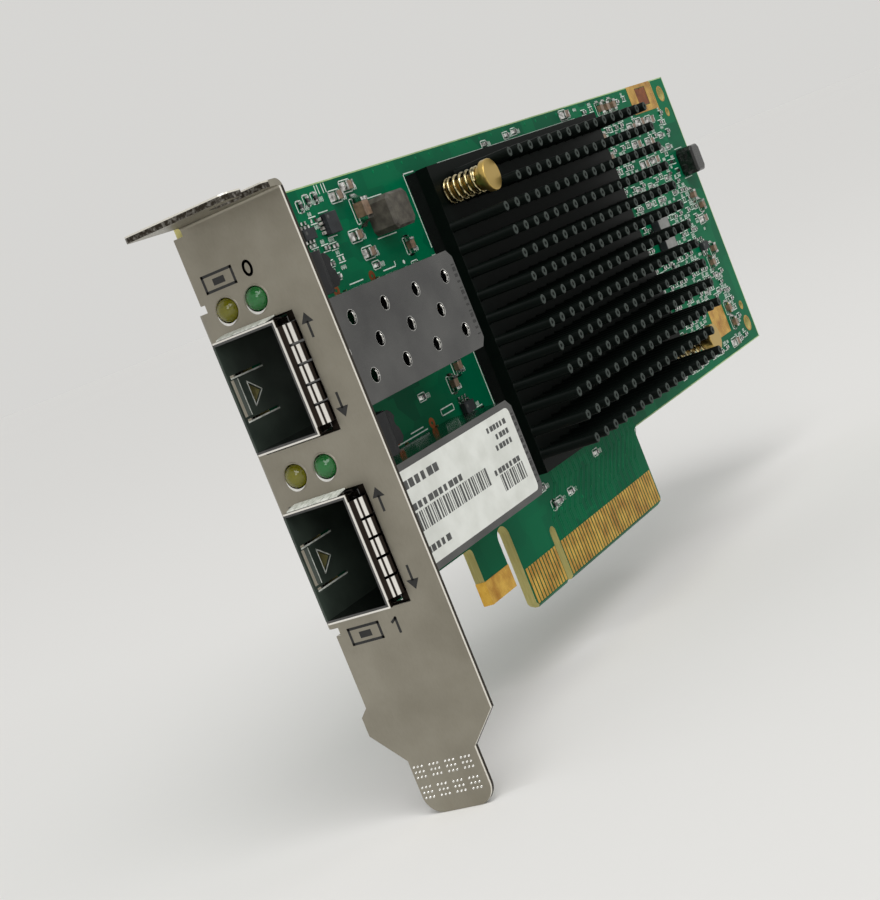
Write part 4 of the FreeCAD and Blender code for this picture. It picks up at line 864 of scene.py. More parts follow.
class Relief:
    """Thin shapes raised on flat faces of the card, gathered into one mesh.

    Attributes:
        face: Face that the next shape lies on.
        height: Thickness of the next shape in millimetres.
        mesh: Mesh that holds the shapes.
    """

    def __init__(self, face: Face = COMPONENT_FACE, height: float = 0.0) -> None:
        """Start with no shapes.

        Args:
            face: Face that the first shape lies on.
            height: Thickness of the first shape in millimetres.
        """
        self.face = face
        self.height = height
        self.mesh = bmesh.new()

    def loop(self, outline: Path, height: float) -> list[bmesh.types.BMVert]:
        """Add the corners of an outline at a height over the face."""
        return [self.mesh.verts.new(self.face.point(*corner, height)) for corner in outline]

    def wall(self, low: Sequence[bmesh.types.BMVert], high: Sequence[bmesh.types.BMVert]) -> None:
        """Join two loops of corners with a band of faces.

        Args:
            low: Corners of the first loop in order.
            high: Corners of the second loop.
        """
        for index in range(len(low)):
            after = (index + 1) % len(low)
            self.mesh.faces.new((low[index], low[after], high[after], high[index]))

    def bridge(self, low: Sequence[bmesh.types.BMVert], high: Sequence[bmesh.types.BMVert]) -> None:
        """Close a solid between two loops of corners.

        Args:
            low: Corners of the first loop in order.
            high: Corners of the second loop.
        """
        self.mesh.faces.new(low[::-1])
        self.mesh.faces.new(high)
        self.wall(low, high)

    def prism(self, section: Sequence[Vector], shift: Vector) -> None:
        """Close a solid between a section and the same section further on.

        Args:
            section: Corners of the section in millimetres.
            shift: Way to the other end in millimetres.
        """
        near = [self.mesh.verts.new(place * MM) for place in section]
        far = [self.mesh.verts.new((place + shift) * MM) for place in section]
        self.bridge(near, far)

    def plate(self, outline: Path) -> None:
        """Raise a flat outline, given by its corners across and up the face in millimetres."""
        self.bridge(self.loop(outline, 0), self.loop(outline, self.height))

    def pierced_plate(self, outline: Path, holes: Sequence[Path]) -> None:
        """Raise a flat outline with openings.

        Args:
            outline: Corners across and up the face in millimetres.
            holes: Corners of each opening.
        """
        rims: tuple[list[bmesh.types.BMEdge], list[bmesh.types.BMEdge]] = ([], [])
        for corners in (outline, *holes):
            levels = (self.loop(corners, 0), self.loop(corners, self.height))
            self.wall(*levels)
            for rim, level in zip(rims, levels):
                rim.extend(self.mesh.edges.get(ends) for ends in zip(level, level[1:] + level[:1]))
        for rim in rims:
            bmesh.ops.triangle_fill(self.mesh, use_beauty=True, edges=rim)

    def bar(self, low: Point, high: Point) -> None:
        """Raise an upright rectangle between two corners."""
        self.plate(rectangle(low, high))

    def block(self, middle: Point, size: Point) -> None:
        """Raise an upright rectangle round its middle."""
        half = (size[0] / 2, size[1] / 2)
        self.bar((middle[0] - half[0], middle[1] - half[1]), (middle[0] + half[0], middle[1] + half[1]))

    def stroke(self, path: Path, width: float) -> None:
        """Draw a line of even width.

        Args:
            path: Points across and up the face in millimetres.
            width: Width of the line in millimetres.
        """
        half = width / 2
        for (x0, y0), (x1, y1) in zip(path, path[1:]):
            run = math.hypot(x1 - x0, y1 - y0)
            dx, dy = (x1 - x0) / run * half, (y1 - y0) / run * half
            self.plate((
                (x0 - dx + dy, y0 - dy - dx), (x1 + dx + dy, y1 + dy - dx),
                (x1 + dx - dy, y1 + dy + dx), (x0 - dx - dy, y0 - dy + dx),
            ))

    def frame_line(self, low: Point, high: Point, width: float) -> None:
        """Draw the outline of an upright rectangle between two corners."""
        self.stroke((*rectangle(low, high), low), width)

    def turn(self, centre: Point, profile: Path, steps: int) -> None:
        """Sweep a profile round a point of the face.

        Args:
            centre: Middle across and up the face in millimetres.
            profile: Radius and height of each point in millimetres, from outside to inside.
            steps: Number of steps round.
        """
        rings = [self.loop(circle(centre, radius, steps), height) for radius, height in profile]
        for outer, inner in zip(rings, rings[1:]):
            self.wall(outer, inner)
        if profile[-1][1] > 0:
            self.mesh.faces.new(rings[-1])

    def make(self, name: str, finish: Finish, slot: str) -> bpy.types.Object:
        """Turn the shapes into a piece of the card.

        Args:
            name: Name of the piece.
            finish: Its finish.
            slot: Not used.

        Returns:
            The piece.
        """
        bmesh.ops.recalc_face_normals(self.mesh, faces=self.mesh.faces)
        data = bpy.data.meshes.new(name)
        self.mesh.to_mesh(data)
        self.mesh.free()
        data.shade_smooth()
        data.set_sharp_from_angle(angle=SHARP_ANGLE)
        return add_piece(name, data, finish)


@dataclass(frozen=True)
class PhotoCamera:
    """Camera that stands where the photograph was taken from.

    Attributes:
        place: Lens centre in millimetres.
        forward: Viewing direction.
        right: Direction of the picture's right side.
        focal_pixels: Focal length in pixels of the picture.
        sensor_width: Width of the sensor in millimetres.
    """

    place: tuple[float, float, float] = (-242.7, -136.9, 55.3)
    forward: tuple[float, float, float] = (0.8470, 0.5212, -0.1046)
    right: tuple[float, float, float] = (0.4529, -0.8105, -0.3713)
    focal_pixels: float = 1851.4
    sensor_width: float = 36.0

    def build(self) -> None:
        """Make the camera and look through it."""
        lens = bpy.data.cameras.new("photo_camera")
        lens.sensor_fit = "HORIZONTAL"
        lens.sensor_width = self.sensor_width
        lens.lens = self.focal_pixels / IMAGE_WIDTH * self.sensor_width
        lens.clip_start = 0.01
        lens.clip_end = 200.0
        camera = bpy.data.objects.new("photo_camera", lens)
        bpy.context.scene.collection.objects.link(camera)
        back = -Vector(self.forward).normalized()
        right = Vector(self.right)
        right = (right - back * right.dot(back)).normalized()
        turn = Matrix((right, back.cross(right), back)).transposed()
        camera.matrix_world = Matrix.Translation(Vector(self.place) * MM) @ turn.to_4x4()
        bpy.context.scene.camera = camera


@dataclass(frozen=True)
class Studio:
    """Pale floor, even sky, a soft sun and lamps that give the metal its highlights.

    Attributes:
        floor_reach: Half the width of the floor in metres.
        floor_gap: Space between the card's lowest point and the floor in millimetres.
        sky_light: Light of the sky on the card.
        pale: Level of the background behind the card.
        sun_strength: Strength of the sun.
        sun_width: Angle that the sun fills in degrees.
        sun_way: Direction of its light.
    """

    floor_reach: float = 60.0
    floor_gap: float = 0.05
    sky_light: float = 0.42
    pale: float = 0.674
    sun_strength: float = 1.7
    sun_width: float = 50.0
    sun_way: tuple[float, float, float] = (0.45, 0.55, -0.9)

    def build(self) -> None:
        """Make the floor, the sky and the lamps."""
        bpy.context.scene.view_settings.view_transform = "Standard"
        self.floor()
        self.sky()
        self.sun()
        self.lamp("overhead_strip", Vector((-0.25, -0.15, 0.65)), (0.45, 0.06), 0.5)
        self.lamp("front_softbox", Vector((-0.75, -0.35, 0.3)), (0.25, 0.2), 0.6)
        self.lamp("side_softbox", Vector((0.35, -0.8, 0.35)), (0.3, 0.15), 0.5)

    def floor(self) -> None:
        """Lay the floor under the card's lowest point."""
        level = CAD_BOX[0].z - self.floor_gap * MM
        reach = self.floor_reach
        corners = [(*corner, level) for corner in rectangle((-reach, -reach), (reach, reach))]
        data = bpy.data.meshes.new("studio_floor")
        data.from_pydata(corners, [], [(0, 1, 2, 3)])
        data.materials.append(FLOOR_PAINT.material())
        floor = bpy.data.objects.new("studio_floor", data)
        bpy.context.scene.collection.objects.link(floor)

    def sky(self) -> None:
        """Light the card evenly, and show a pale ground to the eye and in reflections."""
        world = bpy.data.worlds.new("even_sky")
        bpy.context.scene.world = world
        world.use_nodes = True
        tree = world.node_tree
        tree.nodes.clear()
        light = add_node(tree, "Background", {"Color": "#FFFFFF", "Strength": self.sky_light})
        ground = add_node(tree, "Background", {"Color": "#FFFEFB", "Strength": self.pale})
        path = add_node(tree, "LightPath")
        seen = path.outputs["Is Camera Ray"]
        for name in ("Is Glossy Ray", "Is Transmission Ray"):
            seen = add_node(tree, "Math", {0: seen, 1: path.outputs[name]}, operation="MAXIMUM")
        shown = add_node(tree, "MixShader", {0: seen, 1: light, 2: ground})
        add_node(tree, "OutputWorld", {"Surface": shown})

    def sun(self) -> None:
        """Add a wide, soft sun from the left above the bracket."""
        data = bpy.data.lights.new("soft_sun", "SUN")
        data.energy = self.sun_strength
        data.angle = math.radians(self.sun_width)
        lamp = bpy.data.objects.new("soft_sun", data)
        bpy.context.scene.collection.objects.link(lamp)
        lamp.rotation_euler = Vector(self.sun_way).to_track_quat("-Z", "Y").to_euler()

    def lamp(self, name: str, away: Vector, size: Point, power: float) -> None:
        """Add a flat lamp that faces the middle of the card.

        Args:
            name: Name of the lamp.
            away: Its place from that middle in metres.
            size: Width and height in metres.
            power: Power in watts.
        """
        data = bpy.data.lights.new(name, "AREA")
        data.shape = "RECTANGLE"
        data.size, data.size_y = size
        data.energy = power
        lamp = bpy.data.objects.new(name, data)
        bpy.context.scene.collection.objects.link(lamp)
        lamp.location = (CAD_BOX[0] + CAD_BOX[1]) / 2 + away
        lamp.rotation_euler = (-away).to_track_quat("-Z", "Y").to_euler()


@dataclass(frozen=True)
class CircuitBoard:
    """The bare board: lacquer, tracks, plated holes and white print.

    Attributes:
        ink: Thickness of the white print in millimetres.
        line: Width of the white lines in millimetres.
        copper: Height of tracks, pads and rings in millimetres.
        edge_highlight_line: Width of the pale line along the board's edges in millimetres, bare laminate
            and painted highlight.
        lower_edge: Z of the board's lower edge behind the tongue.
        tongue_tail: X where that edge starts.
        tail_holes: Middles of the large holes at the tail, across and up the board.
        tail_vias: Middles of the small holes beside them.
        test_pads: Middles of the bare test pads.
        bare_window: Corners of the bare copper inside the corner pad.
        pad_strip: Corners of the gold strip beside that pad.
        hole_ring: Inner and outer radius of the gold rings round the large holes.
        via_ring: Inner and outer radius of the rings round the small ones.
        pad_ring: Inner and outer radius of a test pad.
        contact_top: Z of the contacts' upper end.
        first_contact: X of the first pair of tracks.
        contact_pairs: Number of pairs.
        pair_pitch: Spacing of the pairs.
        track_gap: Distance between the tracks of a pair.
        track_width: Width of those tracks.
        track_ends: Z where they end on the component side and on the solder side.
        track_bend: Z of the first bend at the middle of the tongue.
        track_reach: Greatest shift of a track towards the controller.
        track_spread: Spread of the tracks at the controller, as a share of that at the tongue.
        tongue_middle: X of the middle of the contacts.
        row_paths: First tracks of the rows on the solder side.
        row_count: Number of tracks in a row.
        row_pitch: Spacing of the rows' tracks.
        row_width: Width of the rows' tracks.
        controller: Middle of the controller.
        via_profile: Radius and height of the points of a lacquered via, from outside to inside.
        via_columns: Number of vias along and up the field under the controller.
        via_gap: Vias left out along each side of the field's empty middle.
        via_pitch: Spacing of that field.
        via_steps: Number of steps round a via.
        edge_vias: X of the vias along the upper edge.
        edge_via_levels: Z of those vias on the solder side and on the component side.
        printed_dots: Middles of the printed dots.
        printed_frame: Corners of the printed frame.
        printed_paths: White lines: round the heat sink, beside the cages and at the upper edge.
    """

    ink: float = 0.025
    line: float = 0.17
    copper: float = 0.03
    edge_highlight_line: float = 0.2
    lower_edge: float = 13.65
    tongue_tail: float = 40.6
    tail_holes: tuple[Point, ...] = ((105.25, 65.8), (105.25, 17.3))
    tail_vias: tuple[Point, ...] = ((105.35, 62.0), (105.35, 21.1))
    test_pads: tuple[Point, ...] = ((-21.0, 54.2), (-31.0, 54.2), (-20.8, 31.9), (-30.9, 32.3))
    bare_window: tuple[Point, Point] = ((93.3, 64.7), (98.3, 68.1))
    pad_strip: tuple[Point, Point] = ((101.55, 62.75), (102.0, 68.7))
    hole_ring: Point = (1.3, 1.6)
    via_ring: Point = (0.65, 0.9)
    pad_ring: Point = (0.25, 0.8)
    contact_top: float = 6.1
    first_contact: float = 1.5
    contact_pairs: int = 18
    pair_pitch: float = 2.0
    track_gap: float = 0.55
    track_width: float = 0.16
    track_ends: Point = (18.5, 27.0)
    track_bend: float = 8.4
    track_reach: float = 4.5
    track_spread: float = 0.55
    tongue_middle: float = 19.0
    row_paths: tuple[tuple[Point, ...], ...] = (
        ((-14.0, 59.0), (6.0, 59.0), (10.0, 55.0), (16.0, 55.0)),
        ((44.0, 53.0), (60.0, 53.0), (64.0, 57.0), (92.0, 57.0)),
    )
    row_count: int = 10
    row_pitch: float = 1.1
    row_width: float = 0.2
    controller: Point = (30.2, 41.6)
    via_profile: tuple[Point, ...] = ((0.3, 0), (0.24, 0.03), (0.1, 0.03), (0.05, 0.01))
    via_columns: int = 20
    via_gap: int = 6
    via_pitch: float = 1.3
    via_steps: int = 8
    edge_vias: tuple[float, ...] = tuple(-10.0 + 4.4 * step for step in range(26))
    edge_via_levels: Point = (67.6, 68.0)
    printed_dots: tuple[Point, ...] = ((-11.4, 54.35), (-11.4, 32.15))
    printed_frame: tuple[Point, Point] = ((-17.4, 32.0), (-13.6, 32.9))
    printed_paths: tuple[tuple[Point, ...], ...] = (
        ((1.0, 66.3), (-2.25, 66.3), (-2.25, 54.8)), ((-3.05, 53.6), (-1.95, 53.6)),
        ((-2.25, 52.4), (-2.25, 16.95), (62.65, 16.95), (62.65, 66.3), (9.0, 66.3)),
        ((-27.2, 54.25), (-23.6, 54.25)), ((-38.0, 54.25), (-34.6, 54.25)),
        ((-27.0, 32.05), (-23.4, 32.05)), ((-37.8, 32.05), (-34.4, 32.05)), ((-41.0, 31.5), (-22.5, 31.5)),
        ((-17.6, 54.25), (-13.9, 54.25), (-13.9, 54.9)), ((-26.4, 67.3), (-26.4, 68.5)),
        ((-25.7, 67.3), (-25.7, 68.5)), ((-24.6, 67.3), (-24.6, 68.5)), ((-23.9, 67.3), (-23.9, 68.5)),
    )

    def build(self) -> None:
        """Dress the board and lay on its details."""
        dress(GREEN_MASK, "circuit_board")
        dress(HARD_GOLD, "edge_contacts_front", "edge_contacts_rear", "ground_tab_plating", "corner_pads")
        self.plated_holes()
        self.bare_copper()
        self.tracks()
        self.vias()
        self.white_print()
        self.edge_lines()

    def edge_lines(self) -> None:
        """Lay a pale line along the routed edges, on both sides: bare laminate, and a painted highlight on
        the edge.
        """
        half = self.edge_highlight_line / 2
        tail, low, high = BOARD_HIGH.x - half, self.lower_edge + half, BOARD_HIGH.z - half
        lines = Relief(height=self.ink / 2)
        for face in (COMPONENT_FACE, SOLDER_FACE):
            lines.face = face
            path = ((self.tongue_tail, low), (tail, low), (tail, high), (BOARD_LOW.x + half, high))
            lines.stroke(path, self.edge_highlight_line)
        lines.make("bare_edge_and_highlight_lines", BARE_LAMINATE_AND_HIGHLIGHT, "board_laminate")

    def plated_holes(self) -> None:
        """Ring the tail holes with gold on both sides, and edge the corner pad."""
        rings = Relief(height=self.copper)
        rings.bar(*self.pad_strip)
        kinds = ((self.tail_holes, self.hole_ring, 36), (self.tail_vias, self.via_ring, 28))
        for face in (COMPONENT_FACE, SOLDER_FACE):
            rings.face = face
            for places, radii, steps in kinds:
                for place in places:
                    rings.turn(place, ring_profile(*radii, self.copper), steps)
        rings.make("plated_hole_rings", HARD_GOLD, "gold_plating")

    def bare_copper(self) -> None:
        """Show bare copper at the test pads and inside the corner pad."""
        copper = Relief(height=self.copper)
        for place in self.test_pads:
            copper.turn(place, ring_profile(*self.pad_ring, self.copper), 24)
        copper.bar(*self.bare_window)
        copper.make("bare_copper_pads", DULL_COPPER, "gold_plating")

    def tracks(self) -> None:
        """Run pairs of tracks from the contacts to the controller on both sides, and rows behind it."""
        lines = Relief(height=self.copper)
        reach = self.track_reach
        for face, end in zip((COMPONENT_FACE, SOLDER_FACE), self.track_ends):
            lines.face = face
            for pair in range(self.contact_pairs):
                start = self.first_contact + self.pair_pitch * pair
                bend = self.track_bend + 0.14 * abs(pair - self.contact_pairs / 2)
                target = self.controller[0] + (start - self.tongue_middle) * self.track_spread
                shift = max(-reach, min(reach, target - start))
                for x in (start, start + self.track_gap):
                    after = x + shift
                    path = ((x, self.contact_top), (x, bend), (after, bend + abs(shift)), (after, end))
                    lines.stroke(path, self.track_width)
        for row in range(self.row_count):
            for path in self.row_paths:
                lines.stroke([(x, z - self.row_pitch * row) for x, z in path], self.row_width)
        lines.make("copper_tracks", TRACK_MASK, "board_laminate")

    def vias(self) -> None:
        """Scatter lacquered vias under the controller and along the board."""
        last = self.via_columns - 1
        middle_field = range(self.via_gap, self.via_columns - self.via_gap)
        corner = [middle - self.via_pitch * last / 2 for middle in self.controller]
        places = [
            (corner[0] + self.via_pitch * column, corner[1] + self.via_pitch * row)
            for column in range(self.via_columns) for row in range(self.via_columns)
            if not (column in middle_field and row in middle_field)
        ]
        over_contacts = [(self.first_contact + 3.9 * step, 9.6 + 0.5 * (step % 3)) for step in range(9)]
        rear_level, front_level = self.edge_via_levels
        dots = Relief(SOLDER_FACE)
        for place in [*places, *((x, rear_level) for x in self.edge_vias)]:
            dots.turn(place, self.via_profile, self.via_steps)
        dots.face = COMPONENT_FACE
        for place in [*((x, front_level) for x in self.edge_vias), *over_contacts]:
            dots.turn(place, self.via_profile, self.via_steps)
        dots.make("lacquered_vias", TRACK_MASK, "board_laminate")

    def white_print(self) -> None:
        """Print the outline of the heat sink and the lines beside the cages."""
        ink = Relief(height=self.ink)
        for path in self.printed_paths:
            ink.stroke(path, self.line)
        ink.frame_line(*self.printed_frame, self.line)
        for place in self.printed_dots:
            ink.turn(place, ((0.3, 0), (0.3, self.ink)), 14)
        ink.make("white_board_print", WHITE_INK, "label_paper")


@dataclass(frozen=True)
class SurfaceParts:
    """Chips, capacitors, resistors and inductors, with their solder and printed outlines.

    Attributes:
        ink: Thickness of the white print in millimetres.
        line: Width of the white lines in millimetres.
        mark_line: Width of the lines of the smallest marks in millimetres.
        margin: Space between a part and its outline in millimetres.
        wetting: Share of a terminal's height that the solder climbs.
        small_areas: Lowest and highest corner of each area of the smallest chips, and their spacing.
        small_height: Height of the smallest chips in millimetres.
        small_pad: Length and width of their ends.
        small_body: Length and width of their bodies between the ends.
        small_reach: Distance of the ends from the middle.
        small_outline: Half the length of the printed lines beside them, and the lines' distance.
        bare_pad: Height of the tin on an unfitted place.
        mark_start: Lower left corner of the first mark, from the middle.
        mark_size: Width and height of a mark.
        mark_pitch: Spacing of the marks.
        obstacles: Nodes that the smallest chips keep clear of.
    """

    ink: float = 0.025
    line: float = 0.15
    mark_line: float = 0.1
    margin: float = 0.42
    wetting: float = 0.8
    small_areas: tuple[tuple[Point, Point, Point], ...] = (
        ((66.6, 15.6), (103.0, 62.6), (2.35, 1.95)), ((-42.0, 55.8), (-27.0, 67.8), (2.5, 2.1)),
        ((-10.0, 15.6), (-4.4, 30.0), (3.2, 2.4)), ((64.0, 66.9), (88.0, 67.6), (3.2, 2.4)),
    )
    small_height: float = 0.32
    small_pad: Point = (0.48, 0.56)
    small_body: Point = (0.52, 0.54)
    small_reach: float = 0.5
    small_outline: Point = (0.85, 0.48)
    bare_pad: float = 0.05
    mark_start: Point = (-0.7, 0.7)
    mark_size: Point = (0.26, 0.5)
    mark_pitch: float = 0.5
    obstacles: tuple[str, ...] = (
        "capacitor_bodies", "resistor_bodies", "chip_bodies", "corner_pads", "heatsink",
        "light_housing_upper", "light_housing_lower", "cage_shell_upper", "cage_shell_lower",
        "bracket_end_inductor", "tail_inductor",
    )

    def build(self) -> None:
        """Dress the parts, then solder and outline them."""
        dress(TAN_CERAMIC, "capacitor_bodies")
        dress(BLACK_GLAZE, "resistor_bodies")
        dress(REFLOWED_TIN, "capacitor_terminals", "resistor_terminals", "chip_leads")
        dress(MOULDED_EPOXY, "chip_bodies")
        dress(PRESSED_POWDER, "bracket_end_inductor")
        dress(CAST_FERRITE, "tail_inductor")
        soften(0.08, "capacitor_bodies", "chip_bodies")
        soften(0.16, "tail_inductor")
        chips = [*self.pairs("capacitor"), *self.pairs("resistor")]
        self.fillets(chips)
        self.outlines(chips)
        self.pin_one_marks()
        self.lapped_top()
        self.small_places()

    def lapped_top(self) -> None:
        """Cover the largest integrated circuit with its lapped grey top."""
        low, high = max(islands("chip_bodies"), key=lambda box: (box[1] - box[0]).length)
        rim = 0.25
        top = Relief(component_side(low.y), 0.015)
        top.bar((low.x + rim, low.z + rim), (high.x - rim, high.z - rim))
        top.make("lapped_chip_top", LAPPED_EPOXY, "chip_moulding")

    def is_free(self, place: Point, taken: Sequence[Box]) -> bool:
        """Tell whether a place on the board is clear of what stands there.

        Args:
            place: Place across and up the board in millimetres.
            taken: Boxes of what stands there.

        Returns:
            True where nothing is near.
        """
        x, z = place
        gap = self.margin * 2.6
        return not any(
            low.x - gap < x < high.x + gap and low.z - gap < z < high.z + gap for low, high in taken
        )

    def small_places(self) -> None:
        """Fill the free areas with the smallest chips, unfitted places and plain marks."""
        taken = [box for node in self.obstacles for box in islands(node)]
        tin, glaze, ink = Relief(), Relief(height=self.small_height * 0.95), Relief(height=self.ink)
        number = 0
        for (left, low), (right, high), (step_across, step_up) in self.small_areas:
            for row in range(int((high - low) / step_up) + 1):
                for column in range(int((right - left) / step_across) + 1):
                    number += 1
                    sway = 0.3 * math.sin(number * 2.4)
                    place = (left + step_across * column + sway, low + step_up * row + sway / 3)
                    if self.is_free(place, taken):
                        self.small_place(tin, glaze, ink, place, number)
        tin.make("small_chip_terminals", REFLOWED_TIN, "tinned_ends")
        glaze.make("small_chip_bodies", BLACK_GLAZE, "dark_ceramic")
        ink.make("small_chip_outlines", WHITE_INK, "label_paper")

    def small_place(self, tin: Relief, glaze: Relief, ink: Relief, place: Point, number: int) -> None:
        """Lay out one of the smallest chips, an unfitted place for one, or a few plain marks.

        Args:
            tin: Tin that its ends join.
            glaze: Glazed bodies that its body joins.
            ink: Print that its marks join.
            place: Middle of it across and up the board in millimetres.
            number: Its number, which picks what it shows.
        """
        x, z = place
        kind = number * 7 % 5
        is_fitted = kind < 3
        if kind < 4:
            tin.height = self.small_height if is_fitted else self.bare_pad
            half, away = self.small_outline
            for side in (-1, 1):
                tin.block((x + self.small_reach * side, z), self.small_pad)
                level = z + away * side
                ink.stroke(((x - half, level), (x + half, level)), self.line)
        if is_fitted:
            glaze.block(place, self.small_body)
        if kind != 1:
            for mark in range(2 + number % 2):
                left, low = x + self.mark_start[0] + self.mark_pitch * mark, z + self.mark_start[1]
                high = (left + self.mark_size[0], low + self.mark_size[1])
                ink.frame_line((left, low), high, self.mark_line)

    def pairs(self, kind: str) -> list[tuple[Box, Box]]:
        """Match each end cap with the body that it closes.

        Args:
            kind: First word of the nodes' names.

        Returns:
            Boxes of the body and of the end cap.
        """
        bodies = islands(kind + "_bodies")
        matched = []
        for cap in islands(kind + "_terminals"):
            middle = (cap[0] + cap[1]) / 2
            body = min(bodies, key=lambda box: ((box[0] + box[1]) / 2 - middle).length)
            matched.append((body, cap))
        return matched

    def fillets(self, chips: Sequence[tuple[Box, Box]]) -> None:
        """Run a concave fillet of solder from each end cap down to its pad.

        Args:
            chips: Boxes of a body and of one of its end caps.
        """
        solder = Relief()
        surface = BOARD_LOW.y
        inset = 0.04
        for body, cap in chips:
            away = cap[0] + cap[1] - body[0] - body[1]
            axis, side = (0, 2) if abs(away.x) > abs(away.z) else (2, 0)
            sign = 1 if away[axis] > 0 else -1
            foot = cap[1][axis] if sign > 0 else cap[0][axis]
            climb = (surface - cap[0].y) * self.wetting
            reach = 0.25 + 0.45 * climb
            hollow = ((reach * 0.45, climb * 0.28), (reach * 0.12, climb * 0.75))
            profile = ((0, 0), (reach, 0), *hollow, (0, climb))
            section = []
            for run, rise in profile:
                place = Vector((0, surface - rise, 0))
                place[axis] = foot + sign * run
                place[side] = cap[0][side] + inset
                section.append(place)
            width = Vector((0, 0, 0))
            width[side] = cap[1][side] - cap[0][side] - 2 * inset
            solder.prism(section, width)
        solder.make("solder_fillets", REFLOWED_TIN, "tinned_ends")

    def outlines(self, chips: Sequence[tuple[Box, Box]]) -> None:
        """Print a white outline and two small marks beside each part.

        Args:
            chips: Boxes of a body and of one of its end caps.
        """
        ink = Relief(height=self.ink)
        spans: dict[Point, list[Vector]] = {}
        for body, cap in chips:
            middle = (body[0] + body[1]) / 2
            key = (round(middle.x, 2), round(middle.z, 2))
            spans.setdefault(key, [body[0], body[1]]).extend(cap)
        for corners in spans.values():
            low = (min(c.x for c in corners) - self.margin, min(c.z for c in corners) - self.margin * 0.6)
            high = (max(c.x for c in corners) + self.margin, max(c.z for c in corners) + self.margin * 0.6)
            ink.frame_line(low, high, self.line)
            for mark in range(2):
                start = high[0] + 0.35 + 0.55 * mark
                ink.frame_line((start, low[1] + 0.1), (start + 0.3, low[1] + 0.75), self.mark_line)
        for node in ("chip_bodies", "bracket_end_inductor", "tail_inductor"):
            for low, high in islands(node):
                for z in (low.z - 0.3, high.z + 0.3):
                    ink.stroke(((low.x + 0.3, z), (high.x - 0.3, z)), self.line)
        ink.make("component_outlines", WHITE_INK, "label_paper")

    def pin_one_marks(self) -> None:
        """Mark the first pin of each integrated circuit with a small dished dot."""
        dots = Relief()
        for low, high in islands("chip_bodies"):
            dots.face = component_side(low.y)
            dots.turn((low.x + 0.6, high.z - 0.6), ((0.28, 0), (0.24, 0.02), (0.1, 0.012)), 18)
        dots.make("first_pin_marks", LABEL_PRINT, "chip_moulding")


